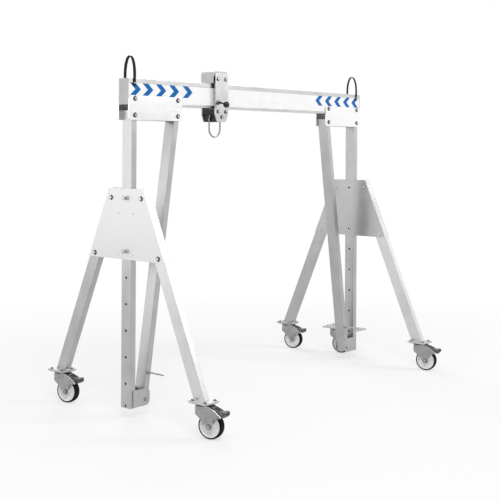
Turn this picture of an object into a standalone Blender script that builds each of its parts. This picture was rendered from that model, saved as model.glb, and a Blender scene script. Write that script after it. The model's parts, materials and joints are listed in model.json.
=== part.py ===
"""Portable aluminium gantry crane: a box beam on two height-adjustable A-frames with braked swivel casters.

X runs along the beam, Y across it and Z up from the floor, in metres. The left end is at -X and the
front at -Y. Shapes that both ends share are modelled at the left end and mirrored for the right.
"""

import math

import bmesh
import bpy
from mathutils import Matrix, Vector

# Fits
GAP = 0.0003  # between faces of different pieces that touch
WELD = 0.0005  # how far a welded or bolted-on shape reaches into its base
CLEARANCE = 0.0005  # round a shank in its hole, on the radius
PAST = 0.02  # how far a cutter reaches past what it cuts

# Masts: two box uprights with a row of locking-pin holes
SPAN = 2.827  # between the mast axes
TUBE_WIDTH = 0.096  # along Y, also the beam's width
TUBE_DEPTH = 0.050  # along X on masts and legs
TUBE_WALL = 0.005
MAST_BOTTOM = 0.077
MAST_TOP = 2.232
MAST_BASE = 0.006  # plate that closes the foot
PIN_PITCH = 0.192
PIN_COUNT = 8
TOP_PIN_Z = 1.597
FOOT_HOLE_Z = 0.094
PIN_HOLE = 0.0095
PIN_HOLE_SIDES = 10

# Beam
BEAM_HEIGHT = 0.190
BEAM_WALL = 0.004
BEAM_OVERHANG = 0.0545  # past each mast axis
BEAM_TOP_BAND = 0.032
BEAM_BOTTOM_BAND = 0.020
WEB_RECESS = 0.0025
BEAM_ABOVE_MAST = 0.041
CAP_THICKNESS = 0.008
CAP_PLUG = 0.015

# Head plates, which clamp beam, mast and brace
HEAD_PLATE = 0.010
HEAD_INWARD = 0.4885
HEAD_OUTWARD = 0.0615
HEAD_BELOW_MAST_TOP = 0.070
HEAD_ABOVE_BEAM_BOTTOM = 0.063
HEAD_CORNER = 0.015
LOW_BOLT_BELOW_MAST_TOP = 0.034
HIGH_BOLT_ABOVE_BEAM_BOTTOM = 0.045

# Braces, from the mast's foot lugs to the head plates
BRACE_TOP_INWARD = 0.4415
BRACE_FOOT_INWARD = 0.1265
BRACE_FOOT_ABOVE_MAST_BOTTOM = 0.046
BRACE_DEPTH = 0.050
BRACE_WALL = 0.004
BRACE_END = 0.030  # past each bolt
LUG_THICKNESS = 0.008
LUG_LOW = 0.003  # above the mast's bottom
LUG_HIGH = 0.127
LUG_REACH = 0.037  # past the brace's foot bolt
LUG_CORNER = 0.035
BAR_RADIUS = 0.0065
BAR_REACH = 0.160
BAR_ABOVE_FOOT = 0.192
BAR_COLLAR = 0.015
BAR_COLLAR_LENGTH = 0.014

# Strap handles over the beam's ends
STRAP_WIDTH = 0.028
STRAP_THICKNESS = 0.004
STRAP_DOWN = 0.053  # below the beam's top
STRAP_STRAIGHT = 0.030  # above the beam's top
STRAP_RISE = 0.167
STRAP_STEPS = 12

# A-frames: gusset plates, legs and mast guides
GUSSET = 0.008
GUSSET_ABOVE_PIN = 0.070
GUSSET_HEIGHT = 0.515
GUSSET_CORNER = 0.006
LEG_LEAN = math.radians(22.95)
LEG_FOOT_Y = 0.726  # leg centre-line where it meets the foot plate
LEG_WALL = 0.004
HIGH_LEG_BOLT = 0.070  # below the gusset's top
LOW_LEG_BOLT = 0.486
LOCK_PITCHES = 2  # between a frame's two locking pins
GUIDE_GAP = 0.0008
GUIDE_WIDTH = 0.055
GUIDE_HEIGHT = 0.340
GUIDE_BELOW_TOP = 0.157

# Locking pins, drawn out
PIN_RADIUS = 0.0088
PIN_TRAVEL = 0.014
PIN_TIP_BACK = 0.0004  # tip behind the gusset's inner face
BOSS_RADIUS = 0.015
BOSS_HEIGHT = 0.006
PIN_HEAD_RADIUS = 0.016
PIN_HEAD = 0.008

# Casters
WHEEL_RADIUS = 0.090
WHEEL_SIDES = 20
WHEEL_WIDTH = 0.058
HUB_LENGTH = 0.064
HUB_RADIUS = 0.022
AXLE_RADIUS = 0.0075
AXLE_SIDES = 12
RIM_DEPTH = 0.022
TRAIL = 0.062
CASTER_TURN = math.radians(13)  # as the casters stand, from trailing straight to the front
CROWN_ABOVE_WHEEL = 0.0335
CROWN = 0.008
RACE_RADIUS = 0.042
RACE = 0.0118
RACE_SIDES = 16
AXLE_NUT = 0.013
AXLE_NUT_HEIGHT = 0.008
CASTER_PLATE = 0.006
CASTER_PLATE_SIZE = (0.125, 0.150)
FORK_WALL = 0.004
FORK_GAP = 0.003  # between wheel hub and fork
FORK_FRONT = 0.044  # front edge, ahead of the swivel axis
FORK_FRONT_DEPTH = 0.056  # of that edge, below the crown's top
FORK_EYE = 0.028  # the cheek's round end, about the axle
HOOD_BACK = 0.097  # behind the axle
HOOD_ABOVE_AXLE = 0.062
HOOD_EDGE = 0.007  # height of the hood's back edge
HOOD_KNEE = (0.050, 0.025)  # where its top bends: behind the axle, and below the crown's top
FOOT_PLATE = 0.012
FOOT_PLATE_SIZE = (0.140, 0.168)
FOOT_OUTWARD = 0.019  # swivel axis past the leg's centre-line
STUD_SPACING = (0.096, 0.120)
STUD_RADIUS = 0.005
STUD_NUT = 0.009
STUD_NUT_HEIGHT = 0.009
PEDAL_REACH = 0.188
PEDAL_WIDTH = 0.060
PEDAL_WALL = 0.004
PEDAL_TOE = 0.022  # length of the solid toe
PEDAL_TOE_HEIGHT = 0.040
PEDAL_PIVOT = 0.058  # behind the swivel axis
PEDAL_PIN = 0.005
PEDAL_BELOW_CROWN = 0.0055
PEDAL_SHOE_GAP = 0.010  # from the tread to the brake shoe, released
PEDAL_SHOE = 0.010  # its length

# Transport caster behind the right mast's foot
TRANSPORT_OUTWARD = 0.1315  # from the mast axis
TRANSPORT_BACK = 0.260
BRACKET = 0.008
BRACKET_FLANGE = 0.130
BRACKET_BOLTS = (0.035, 0.095)  # below the arm
BRACKET_INSET = 0.006  # from the mast's edges

# Trolley
TROLLEY_FROM_PLATE = 0.4275  # from the left head plates' inner edge to the trolley's middle
LOCK_HOLE_FROM_PLATE = 0.201
LOCK_HOLE = 0.008
LOCK_ABOVE_BEAM_BOTTOM = 0.045
SIDE_GAP = 0.018  # from the beam to each side plate
SIDE_PLATE = 0.012
SIDE_HALF = 0.075
SIDE_FOOT_HALF = 0.050
SIDE_TAPER = 0.060
SIDE_ABOVE_BEAM = 0.087
SIDE_BELOW_BEAM = 0.106
SIDE_CORNER = 0.012
SCREW_SHANK = 0.0055
SCREW_HEAD = 0.011
SCREW_HEAD_HEIGHT = 0.008
SCREW_DEPTH = 0.014  # past the cheek, into the base
ROLLER_RADIUS = 0.040
ROLLER_SPACING = 0.089
ROLLER_TREAD = 0.060
ROLLER_HUB = 0.015
ROLLER_SIDES = 20
ROLLER_CORNER = 0.003
ROLLER_END_GAP = 0.003
COVER_HALF = 0.0895
COVER_WALL = 0.003
COVER_TOP = 0.102  # above the beam
COVER_FOOT = 0.006
COVER_SIDE_FOOT = 0.062  # the side walls start above the rollers' hubs
COVER_CORNER = 0.030
BASE_TOP_GAP = 0.007
BASE_WIDE = 0.0725
BASE_NARROW = 0.0525
BASE_SHOULDER = 0.042
SPREADER_BOLT_DOWN = 0.025
SPREADER_BOLT_HALF = 0.0445
SPREADER_SHANK = 0.006
SPREADER_HEAD = 0.011
BOW_PIN_DOWN = 0.067
BOW_PIN_RADIUS = 0.006
BOW_PIN_HEAD = 0.010
BOW_PIN_HEAD_HEIGHT = 0.005
BOW_PLAY = 0.002  # between an eye and the pin's head
BOW_HALF = 0.0635
BOW_ROD = 0.0065
ROD_SIDES = 8
BOW_DROP = 0.165
BOW_EYE = 0.014
KNOB_BACK = 0.0445  # left of the trolley's middle
KNOB_BALL = 0.025
KNOB_REACH = 0.072
KNOB_DROOP = Vector((0.022, 0, -0.017))
KNOB_STEM = (0.009, 0.006)  # radii at the plunger and at the ball
PLUNGER_RADIUS = 0.0062
PLUNGER_BOSS = 0.014
PLUNGER_BOSS_HEIGHT = 0.012
PLUNGER_COLLAR = 0.010
PLUNGER_COLLAR_LENGTH = 0.010
PLUNGER_TIP_GAP = 0.002  # from the beam

# Bolts: hexagon heads on hexagonal shanks, all turned alike
BOLT_SIDES = 6
BOLT_SHANK = 0.008
BOLT_HEAD = 0.014
BOLT_HEAD_HEIGHT = 0.009

# What follows from them
LEFT = -SPAN / 2
HALF_WIDTH = TUBE_WIDTH / 2
HALF_DEPTH = TUBE_DEPTH / 2
BEAM_BOTTOM = MAST_TOP + BEAM_ABOVE_MAST
BEAM_TOP = BEAM_BOTTOM + BEAM_HEIGHT
BEAM_END = LEFT - BEAM_OVERHANG
BEAM_HALF_WEB = HALF_WIDTH - WEB_RECESS
HEAD_EDGE = LEFT + HEAD_INWARD
HEAD_LOW = MAST_TOP - HEAD_BELOW_MAST_TOP
HEAD_HIGH = BEAM_BOTTOM + HEAD_ABOVE_BEAM_BOTTOM
HEAD_INNER = HALF_WIDTH + GAP
HEAD_OUTER = HEAD_INNER + HEAD_PLATE
LOW_BOLT_Z = MAST_TOP - LOW_BOLT_BELOW_MAST_TOP
HIGH_BOLT_Z = BEAM_BOTTOM + HIGH_BOLT_ABOVE_BEAM_BOTTOM
BRACE_TOP = Vector((LEFT + BRACE_TOP_INWARD, LOW_BOLT_Z))
BRACE_FOOT = Vector((LEFT + BRACE_FOOT_INWARD, MAST_BOTTOM + BRACE_FOOT_ABOVE_MAST_BOTTOM))
LUG_INNER = HALF_WIDTH - WELD
BRACE_HALF_WIDTH = LUG_INNER - GAP
LEG_HALF = HALF_WIDTH / math.cos(LEG_LEAN)  # of the level section
GUSSET_INNER = HALF_DEPTH + GAP
GUSSET_OUTER = GUSSET_INNER + GUSSET
GUSSET_TOP = TOP_PIN_Z + GUSSET_ABOVE_PIN
GUSSET_BOTTOM = GUSSET_TOP - GUSSET_HEIGHT
LOCK_HEIGHTS = (TOP_PIN_Z, TOP_PIN_Z - LOCK_PITCHES * PIN_PITCH)
CROWN_BOTTOM = 2 * WHEEL_RADIUS + CROWN_ABOVE_WHEEL
CROWN_TOP = CROWN_BOTTOM + CROWN
PLATE_BOTTOM = CROWN_TOP + RACE + GAP
PLATE_TOP = PLATE_BOTTOM + CASTER_PLATE
FOOT_BOTTOM = PLATE_TOP + GAP
FOOT_TOP = FOOT_BOTTOM + FOOT_PLATE
CASTER_Y = LEG_FOOT_Y + FOOT_OUTWARD
FORK_INNER = HUB_LENGTH / 2 + FORK_GAP
PEDAL_Z = CROWN_BOTTOM - PEDAL_BELOW_CROWN
TROLLEY_X = HEAD_EDGE + TROLLEY_FROM_PLATE
LOCK_HOLE_X = HEAD_EDGE + LOCK_HOLE_FROM_PLATE
LOCK_Z = BEAM_BOTTOM + LOCK_ABOVE_BEAM_BOTTOM
SIDE_INNER = HALF_WIDTH + SIDE_GAP
SIDE_OUTER = SIDE_INNER + SIDE_PLATE
PLUNGER_FACE = SIDE_OUTER + PLUNGER_BOSS_HEIGHT
BETWEEN_SIDES = SIDE_INNER - GAP
ROLLER_Z = BEAM_TOP + GAP + ROLLER_RADIUS
BASE_TOP = BEAM_BOTTOM - BASE_TOP_GAP
BASE_BOTTOM = BEAM_BOTTOM - SIDE_BELOW_BEAM
SPREADER_Z = BEAM_BOTTOM - SPREADER_BOLT_DOWN
BOW_PIN_Z = BEAM_BOTTOM - BOW_PIN_DOWN

MATERIALS = {  # base colour, metallic, roughness
    "extrusion": ((0.78, 0.79, 0.80), 0.9, 0.38),
    "plate": ((0.86, 0.87, 0.88), 0.85, 0.32),
    "zinc": ((0.70, 0.71, 0.72), 0.95, 0.35),
    "cap_grey": ((0.32, 0.33, 0.34), 0.0, 0.55),
    "webbing": ((0.02, 0.02, 0.02), 0.0, 0.8),
    "guide_polymer": ((0.10, 0.10, 0.11), 0.0, 0.5),
    "wheel": ((0.12, 0.12, 0.12), 0.0, 0.6),
    "pedal": ((0.30, 0.31, 0.32), 0.4, 0.5),
    "housing": ((0.60, 0.61, 0.62), 0.6, 0.4),
    "dark_steel": ((0.13, 0.13, 0.14), 0.7, 0.45),
    "stainless": ((0.75, 0.75, 0.76), 1.0, 0.22),
    "knob": ((0.02, 0.02, 0.02), 0.0, 0.25),
}

# A shape turned about Z is laid along another axis by exchanging the axes in a cycle.
TURNS = {
    "X": Matrix(((0, 0, 1), (1, 0, 0), (0, 1, 0))).to_4x4(),
    "Y": Matrix(((0, 1, 0), (0, 0, 1), (1, 0, 0))).to_4x4(),
    "Z": Matrix.Identity(4),
}


# ---- Shapes. Each function returns a closed mesh. ----


def to_mesh(shape):
    bmesh.ops.recalc_face_normals(shape, faces=shape.faces)
    mesh = bpy.data.meshes.new("shape")
    shape.to_mesh(mesh)
    shape.free()
    return mesh


def on_axis(axis, along, a, b):
    """A point at `along` on the axis, with a and b on the two others in X, Y, Z order."""
    return {"X": (along, a, b), "Y": (a, along, b), "Z": (a, b, along)}[axis]


def prism(outline, axis, low, high):
    """A flat outline extruded along an axis."""
    shape = bmesh.new()
    face = shape.faces.new([shape.verts.new(on_axis(axis, low, a, b)) for a, b in outline])
    grown = bmesh.ops.extrude_face_region(shape, geom=[face])["geom"]
    moved = [item for item in grown if isinstance(item, bmesh.types.BMVert)]
    bmesh.ops.translate(shape, verts=moved, vec=on_axis(axis, high - low, 0, 0))
    return to_mesh(shape)


def rectangle(a_low, a_high, b_low, b_high):
    return [(a_low, b_low), (a_high, b_low), (a_high, b_high), (a_low, b_high)]


def box(x, y, z):
    """A block from three (low, high) pairs."""
    return prism(rectangle(*x, *y), "Z", *z)


def rounded(outline, radii, steps=3):
    """The outline with each corner turned into an arc; a radius of 0 keeps the corner."""
    if not isinstance(radii, (list, tuple)):
        radii = [radii] * len(outline)
    points = []
    for index, corner in enumerate(outline):
        corner = Vector(corner)
        before = (Vector(outline[index - 1]) - corner).normalized()
        after = (Vector(outline[(index + 1) % len(outline)]) - corner).normalized()
        if radii[index] == 0:
            points.append(tuple(corner))
            continue
        half = before.angle(after) / 2
        middle = corner + (before + after).normalized() * radii[index] / math.sin(half)
        start = corner + before * radii[index] / math.tan(half) - middle
        end = corner + after * radii[index] / math.tan(half) - middle
        for step in range(steps + 1):
            spoke = start.lerp(end, step / steps).normalized() * radii[index]
            points.append(tuple(middle + spoke))
    return points


def turned(profile, sides, axis="Z", at=(0, 0, 0), bored=False, phase=0.0):
    """A profile of (along, radius) points turned about an axis through `at`.

    A bored profile is a closed loop. Any other is closed by flat ends at its first and last point.
    """
    shape = bmesh.new()
    rings = []
    for along, radius in profile:
        angles = [phase + 2 * math.pi * side / sides for side in range(sides)]
        ring = [shape.verts.new((radius * math.cos(a), radius * math.sin(a), along)) for a in angles]
        rings.append(ring)
    pairs = list(zip(rings, rings[1:]))
    if bored:
        pairs.append((rings[-1], rings[0]))
    else:
        shape.faces.new(rings[0])
        shape.faces.new(rings[-1])
    for lower, upper in pairs:
        for side in range(sides):
            after = (side + 1) % sides
            shape.faces.new((lower[side], lower[after], upper[after], upper[side]))
    bmesh.ops.transform(shape, matrix=Matrix.Translation(at) @ TURNS[axis], verts=shape.verts)
    return to_mesh(shape)


def peg(axis, at, low, high, radius, sides=BOLT_SIDES):
    """A plain shank or hole cutter; `low` and `high` lie along the axis, from `at`."""
    return turned([(low, radius), (high, radius)], sides, axis, at)


def bolt(axis, at, low, high, shank=BOLT_SHANK, head=BOLT_HEAD, height=BOLT_HEAD_HEIGHT):
    """A through bolt, its head let into the piece that ends at `low`, its nut just off `high`."""
    profile = [
        (low - height, head),
        (low + WELD, head),
        (low + WELD, shank),
        (high + GAP, shank),
        (high + GAP, head),
        (high + GAP + height, head),
    ]
    return turned(profile, BOLT_SIDES, axis, at)


def swept(path, radius, sides):
    """A round rod along a path of points that all lie in one plane with constant Y."""
    shape = bmesh.new()
    rings = []
    for index, point in enumerate(path):
        before = path[max(index - 1, 0)]
        after = path[min(index + 1, len(path) - 1)]
        along = (after - before).normalized()
        across = along.cross(Vector((0, 1, 0)))
        ring = []
        for side in range(sides):
            angle = 2 * math.pi * (side + 0.5) / sides
            spoke = across * math.cos(angle) + Vector((0, 1, 0)) * math.sin(angle)
            ring.append(shape.verts.new(point + spoke * radius))
        rings.append(ring)
    shape.faces.new(rings[0])
    shape.faces.new(rings[-1])
    for lower, upper in zip(rings, rings[1:]):
        for side in range(sides):
            after = (side + 1) % sides
            shape.faces.new((lower[side], lower[after], upper[after], upper[side]))
    return to_mesh(shape)


def tapered(start, end, start_radius, end_radius, sides):
    """A cone frustum between two points."""
    along = end - start
    mesh = turned([(0, start_radius), (along.length, end_radius)], sides)
    lean = Vector((0, 0, 1)).rotation_difference(along).to_matrix().to_4x4()
    mesh.transform(Matrix.Translation(start) @ lean)
    return mesh


def ball(centre, radius, segments=12, rings=8):
    shape = bmesh.new()
    bmesh.ops.create_uvsphere(shape, u_segments=segments, v_segments=rings, radius=radius)
    bmesh.ops.translate(shape, verts=shape.verts, vec=centre)
    return to_mesh(shape)


def together(*meshes):
    """Several meshes that stand clear of one another, as one."""
    shape = bmesh.new()
    for mesh in meshes:
        shape.from_mesh(mesh)
    return to_mesh(shape)


def combined(operation, base, *tools):
    """The base after one Boolean with each tool."""
    for tool in tools:
        holder = bpy.data.objects.new("holder", base)
        cutter = bpy.data.objects.new("cutter", tool)
        for item in (holder, cutter):
            bpy.context.scene.collection.objects.link(item)
        modifier = holder.modifiers.new("Boolean", "BOOLEAN")
        modifier.operation = operation
        modifier.solver = "EXACT"
        modifier.object = cutter
        graph = bpy.context.evaluated_depsgraph_get()
        base = bpy.data.meshes.new_from_object(holder.evaluated_get(graph))
        for item in (holder, cutter):
            bpy.data.objects.remove(item)
    return base


def cut(base, *tools):
    return combined("DIFFERENCE", base, *tools)


def joined(base, *tools):
    return combined("UNION", base, *tools)


def mirrored(mesh):
    """The right end's copy of a shape modelled at the left end."""
    copy = mesh.copy()
    copy.transform(Matrix.Scale(-1, 4, Vector((1, 0, 0))))
    copy.flip_normals()
    return copy


# ---- Objects ----

bodies = {}  # name: (empty, its place in the crane's frame)


def body(name, parent, place=(0, 0, 0)):
    """An empty that carries one moving body, with its origin on the body's joint."""
    empty = bpy.data.objects.new(name, None)
    bpy.context.scene.collection.objects.link(empty)
    place = Vector(place)
    if parent:
        empty.parent, parent_place = bodies[parent]
        empty.location = place - parent_place
    bodies[name] = (empty, place)


def material(name):
    made = bpy.data.materials.get(name)
    if made:
        return made
    colour, metallic, roughness = MATERIALS[name]
    made = bpy.data.materials.new(name)
    made.use_nodes = True
    shader = made.node_tree.nodes["Principled BSDF"]
    shader.inputs["Base Color"].default_value = (*colour, 1)
    shader.inputs["Metallic"].default_value = metallic
    shader.inputs["Roughness"].default_value = roughness
    return made


def piece(name, mesh, slot, owner, local=False):
    """One sub-part. Its mesh is in the crane's frame, or with local=True in its body's own."""
    empty, place = bodies[owner]
    if not local:
        mesh.transform(Matrix.Translation(-place))
    mesh.shade_smooth()
    mesh.set_sharp_from_angle(angle=math.radians(35))
    mesh.materials.clear()
    mesh.materials.append(material(slot))
    made = bpy.data.objects.new(name, mesh)
    made.parent = empty
    bpy.context.scene.collection.objects.link(made)


def at_both_ends(name, mesh, slot, left_owner, right_owner):
    """A sub-part at the left end and its mirror image at the right."""
    other = mirrored(mesh)
    piece(name.format(side="left"), mesh, slot, left_owner)
    piece(name.format(side="right"), other, slot, right_owner)


# ---- Carriage: beam, masts, braces, head plates and straps ----


def head_bolt_places():
    return [(x, z) for z in (HIGH_BOLT_Z, LOW_BOLT_Z) for x in (LEFT, BRACE_TOP.x)]


def hole_across(x, z, radius=BOLT_SHANK + CLEARANCE, sides=BOLT_SIDES):
    """A cutter through everything between and with the head plates."""
    return peg("Y", (x, 0, z), -HEAD_OUTER - PAST, HEAD_OUTER + PAST, radius, sides)


def beam():
    outline = []
    for side in (1, -1):
        heights = [BEAM_BOTTOM, BEAM_BOTTOM + BEAM_BOTTOM_BAND, BEAM_TOP - BEAM_TOP_BAND, BEAM_TOP]
        low, band_low, band_high, high = heights[::side]
        outline += [(side * HALF_WIDTH, low), (side * HALF_WIDTH, band_low)]
        outline += [(side * BEAM_HALF_WEB, band_low), (side * BEAM_HALF_WEB, band_high)]
        outline += [(side * HALF_WIDTH, band_high), (side * HALF_WIDTH, high)]
    inside = BEAM_HALF_WEB - BEAM_WALL
    hollow = rectangle(-inside, inside, BEAM_BOTTOM + BEAM_WALL, BEAM_TOP - BEAM_WALL)
    tube = cut(prism(outline, "X", BEAM_END, -BEAM_END), prism(hollow, "X", BEAM_END - PAST, PAST - BEAM_END))
    columns = [LEFT, BRACE_TOP.x, -BRACE_TOP.x, -LEFT]
    holes = [hole_across(x, HIGH_BOLT_Z) for x in columns]
    holes += [hole_across(LOCK_HOLE_X, LOCK_Z, LOCK_HOLE, PIN_HOLE_SIDES)]
    return cut(tube, together(*holes))


def end_cap():
    plug_width = BEAM_HALF_WEB - BEAM_WALL - GAP
    plug = box(
        (BEAM_END - GAP - WELD, BEAM_END + CAP_PLUG),
        (-plug_width, plug_width),
        (BEAM_BOTTOM + BEAM_WALL + GAP, BEAM_TOP - BEAM_WALL - GAP),
    )
    face = prism(
        rectangle(-HALF_WIDTH, HALF_WIDTH, BEAM_BOTTOM, BEAM_TOP),
        "X",
        BEAM_END - GAP - CAP_THICKNESS,
        BEAM_END - GAP,
    )
    return joined(face, plug)


def mast():
    tube = box((LEFT - HALF_DEPTH, LEFT + HALF_DEPTH), (-HALF_WIDTH, HALF_WIDTH), (MAST_BOTTOM, MAST_TOP))
    depth = HALF_DEPTH - TUBE_WALL
    width = HALF_WIDTH - TUBE_WALL
    hollow = box((LEFT - depth, LEFT + depth), (-width, width), (MAST_BOTTOM + MAST_BASE, MAST_TOP + PAST))
    heights = [TOP_PIN_Z - index * PIN_PITCH for index in range(PIN_COUNT)] + [FOOT_HOLE_Z]
    reach = HALF_DEPTH + PAST
    row = [peg("X", (LEFT, 0, z), -reach, reach, PIN_HOLE, PIN_HOLE_SIDES) for z in heights]
    upright = cut(tube, hollow, together(hole_across(LEFT, LOW_BOLT_Z), *row))
    lug_end = BRACE_FOOT.x + LUG_REACH
    outline = rectangle(LEFT, lug_end, MAST_BOTTOM + LUG_LOW, MAST_BOTTOM + LUG_HIGH)
    outline = rounded(outline, [0, LUG_CORNER, LUG_CORNER, 0], steps=4)
    lugs = []
    for side in (-1, 1):
        faces = sorted((side * LUG_INNER, side * (LUG_INNER + LUG_THICKNESS)))
        lugs.append(prism(outline, "Y", *faces))
    return cut(joined(upright, together(*lugs)), hole_across(*BRACE_FOOT))


def brace():
    """A leaning box tube, with its foot bolt and the bar by which the end is lifted."""
    along = (BRACE_TOP - BRACE_FOOT).normalized()
    across = Vector((along.y, -along.x))

    def outline(half, past):
        low = BRACE_FOOT - along * past
        high = BRACE_TOP + along * past
        corners = [low - across * half, low + across * half, high + across * half, high - across * half]
        return [tuple(corner) for corner in corners]

    half = BRACE_DEPTH / 2
    tube = prism(outline(half, BRACE_END), "Y", -BRACE_HALF_WIDTH, BRACE_HALF_WIDTH)
    inside = BRACE_HALF_WIDTH - BRACE_WALL
    tube = cut(tube, prism(outline(half - BRACE_WALL, BRACE_END + PAST), "Y", -inside, inside))
    tube = cut(tube, hole_across(*BRACE_TOP))
    lug_outer = LUG_INNER + LUG_THICKNESS
    low, high = -lug_outer - GAP, lug_outer
    foot = [(low - BOLT_HEAD_HEIGHT, BOLT_HEAD), (low, BOLT_HEAD), (low, BOLT_SHANK)]
    foot += [(high + GAP, BOLT_SHANK), (high + GAP, BOLT_HEAD), (high + GAP + BOLT_HEAD_HEIGHT, BOLT_HEAD)]
    foot_bolt = turned(foot, BOLT_SIDES, "Y", (BRACE_FOOT.x, 0, BRACE_FOOT.y))
    root = BRACE_FOOT + along * BAR_ABOVE_FOOT / along.y
    face = -BRACE_HALF_WIDTH
    bar = [
        (face - BAR_REACH, BAR_RADIUS),
        (face - BAR_COLLAR_LENGTH, BAR_RADIUS),
        (face - BAR_COLLAR_LENGTH, BAR_COLLAR),
        (face + BRACE_WALL / 2, BAR_COLLAR),
    ]
    return joined(tube, together(foot_bolt, turned(bar, AXLE_SIDES, "Y", (root.x, 0, root.y))))


def head_plate(side):
    """The plate on one side of the beam; the front one carries the bolts, and the back one their holes."""
    outline = rectangle(LEFT - HEAD_OUTWARD, HEAD_EDGE, HEAD_LOW, HEAD_HIGH)
    faces = sorted((side * HEAD_INNER, side * HEAD_OUTER))
    plate = prism(rounded(outline, HEAD_CORNER), "Y", *faces)
    places = head_bolt_places()
    if side < 0:
        return joined(plate, together(*[bolt("Y", (x, 0, z), -HEAD_OUTER, HEAD_OUTER) for x, z in places]))
    return cut(plate, together(*[hole_across(x, z) for x, z in places]))


def strap():
    """A flat strap bent into an arch over the beam's end, its two tails against the beam's sides."""

    def arch(half, top):
        low = BEAM_TOP - STRAP_DOWN
        shoulder = BEAM_TOP + STRAP_STRAIGHT
        points = [(half, low)]
        for step in range(STRAP_STEPS + 1):
            angle = math.pi * step / STRAP_STEPS
            points.append((half * math.cos(angle), shoulder + (top - shoulder) * math.sin(angle)))
        return points + [(-half, low)]

    inner = HALF_WIDTH + GAP
    top = BEAM_TOP + STRAP_RISE
    outline = arch(inner + STRAP_THICKNESS, top) + arch(inner, top - STRAP_THICKNESS)[::-1]
    return prism(outline, "X", LEFT - STRAP_WIDTH / 2, LEFT + STRAP_WIDTH / 2)


def build_carriage():
    piece("beam", beam(), "extrusion", "carriage")
    at_both_ends("end_cap_{side}", end_cap(), "cap_grey", "carriage", "carriage")
    left_mast = mast()
    right_mast = cut(mirrored(left_mast), bracket_holes())
    piece("mast_left", left_mast, "extrusion", "carriage")
    piece("mast_right", right_mast, "extrusion", "carriage")
    at_both_ends("brace_{side}", brace(), "extrusion", "carriage", "carriage")
    at_both_ends("head_plate_front_{side}", head_plate(-1), "plate", "carriage", "carriage")
    at_both_ends("head_plate_back_{side}", head_plate(1), "plate", "carriage", "carriage")
    at_both_ends("strap_{side}", strap(), "webbing", "carriage", "carriage")


# ---- A-frames ----


def leg_centre(z):
    return LEG_FOOT_Y - (z - FOOT_TOP) * math.tan(LEG_LEAN)


def leg_bolt_places():
    heights = (GUSSET_TOP - HIGH_LEG_BOLT, GUSSET_TOP - LOW_LEG_BOLT)
    return [(side * leg_centre(z), z) for z in heights for side in (-1, 1)]


def hole_along(y, z, radius=BOLT_SHANK + CLEARANCE, sides=BOLT_SIDES):
    """A cutter through the left frame's gussets and legs."""
    reach = GUSSET_OUTER + PAST
    return peg("X", (LEFT, y, z), -reach, reach, radius, sides)


def gusset_plate(inner, outer):
    half_top = leg_centre(GUSSET_TOP) + LEG_HALF
    half_bottom = leg_centre(GUSSET_BOTTOM) + LEG_HALF
    corners = [(-half_bottom, GUSSET_BOTTOM), (half_bottom, GUSSET_BOTTOM)]
    corners += [(half_top, GUSSET_TOP), (-half_top, GUSSET_TOP)]
    return prism(rounded(corners, GUSSET_CORNER), "X", LEFT + inner, LEFT + outer)


def outer_gusset():
    """The plate on the crane's outside, with the leg bolts and the bosses that guide the locking pins."""
    plate = gusset_plate(-GUSSET_OUTER, -GUSSET_INNER)
    bolts = [bolt("X", (LEFT, y, z), -GUSSET_OUTER, GUSSET_OUTER) for y, z in leg_bolt_places()]
    face = -GUSSET_OUTER
    bosses = [
        peg("X", (LEFT, 0, z), face - BOSS_HEIGHT, face + WELD, BOSS_RADIUS, PIN_HOLE_SIDES * 2)
        for z in LOCK_HEIGHTS
    ]
    bores = [
        peg("X", (LEFT, 0, z), face - PAST, -GUSSET_INNER + PAST, PIN_HOLE, PIN_HOLE_SIDES)
        for z in LOCK_HEIGHTS
    ]
    return cut(joined(plate, together(*bolts, *bosses)), together(*bores))


def inner_gusset():
    plate = gusset_plate(GUSSET_INNER, GUSSET_OUTER)
    face = GUSSET_OUTER
    bosses = [
        peg("X", (LEFT, 0, z), face - WELD, face + BOSS_HEIGHT, BOSS_RADIUS, PIN_HOLE_SIDES * 2)
        for z in LOCK_HEIGHTS
    ]
    holes = [hole_along(y, z) for y, z in leg_bolt_places()]
    holes += [hole_along(0, z, PIN_HOLE, PIN_HOLE_SIDES) for z in LOCK_HEIGHTS]
    return cut(joined(plate, together(*bosses)), together(*holes))


def leg(side):
    """A leaning box leg, welded on its foot plate."""

    def outline(half, low, high):
        return [
            (side * (leg_centre(low) - half), low),
            (side * (leg_centre(low) + half), low),
            (side * (leg_centre(high) + half), high),
            (side * (leg_centre(high) - half), high),
        ]

    root = FOOT_TOP - FOOT_PLATE / 4
    tube = prism(outline(LEG_HALF, root, GUSSET_TOP), "X", LEFT - HALF_DEPTH, LEFT + HALF_DEPTH)
    half = LEG_HALF - LEG_WALL / math.cos(LEG_LEAN)
    depth = HALF_DEPTH - LEG_WALL
    hollow = prism(outline(half, root - PAST, GUSSET_TOP + PAST), "X", LEFT - depth, LEFT + depth)
    x_half, y_half = FOOT_PLATE_SIZE[0] / 2, FOOT_PLATE_SIZE[1] / 2
    middle = side * CASTER_Y
    foot = box((LEFT - x_half, LEFT + x_half), (middle - y_half, middle + y_half), (FOOT_BOTTOM, FOOT_TOP))
    places = [(y, z) for y, z in leg_bolt_places() if y * side > 0]
    holes = [hole_along(y, z) for y, z in places] + stud_holes(LEFT, middle)
    return cut(joined(cut(tube, hollow), foot), together(*holes))


def guide(side):
    near = HALF_WIDTH + GUIDE_GAP
    faces = sorted((side * near, side * (near + GUIDE_WIDTH)))
    top = GUSSET_TOP - GUIDE_BELOW_TOP
    return box((LEFT - HALF_DEPTH, LEFT + HALF_DEPTH), faces, (top - GUIDE_HEIGHT, top))


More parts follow.
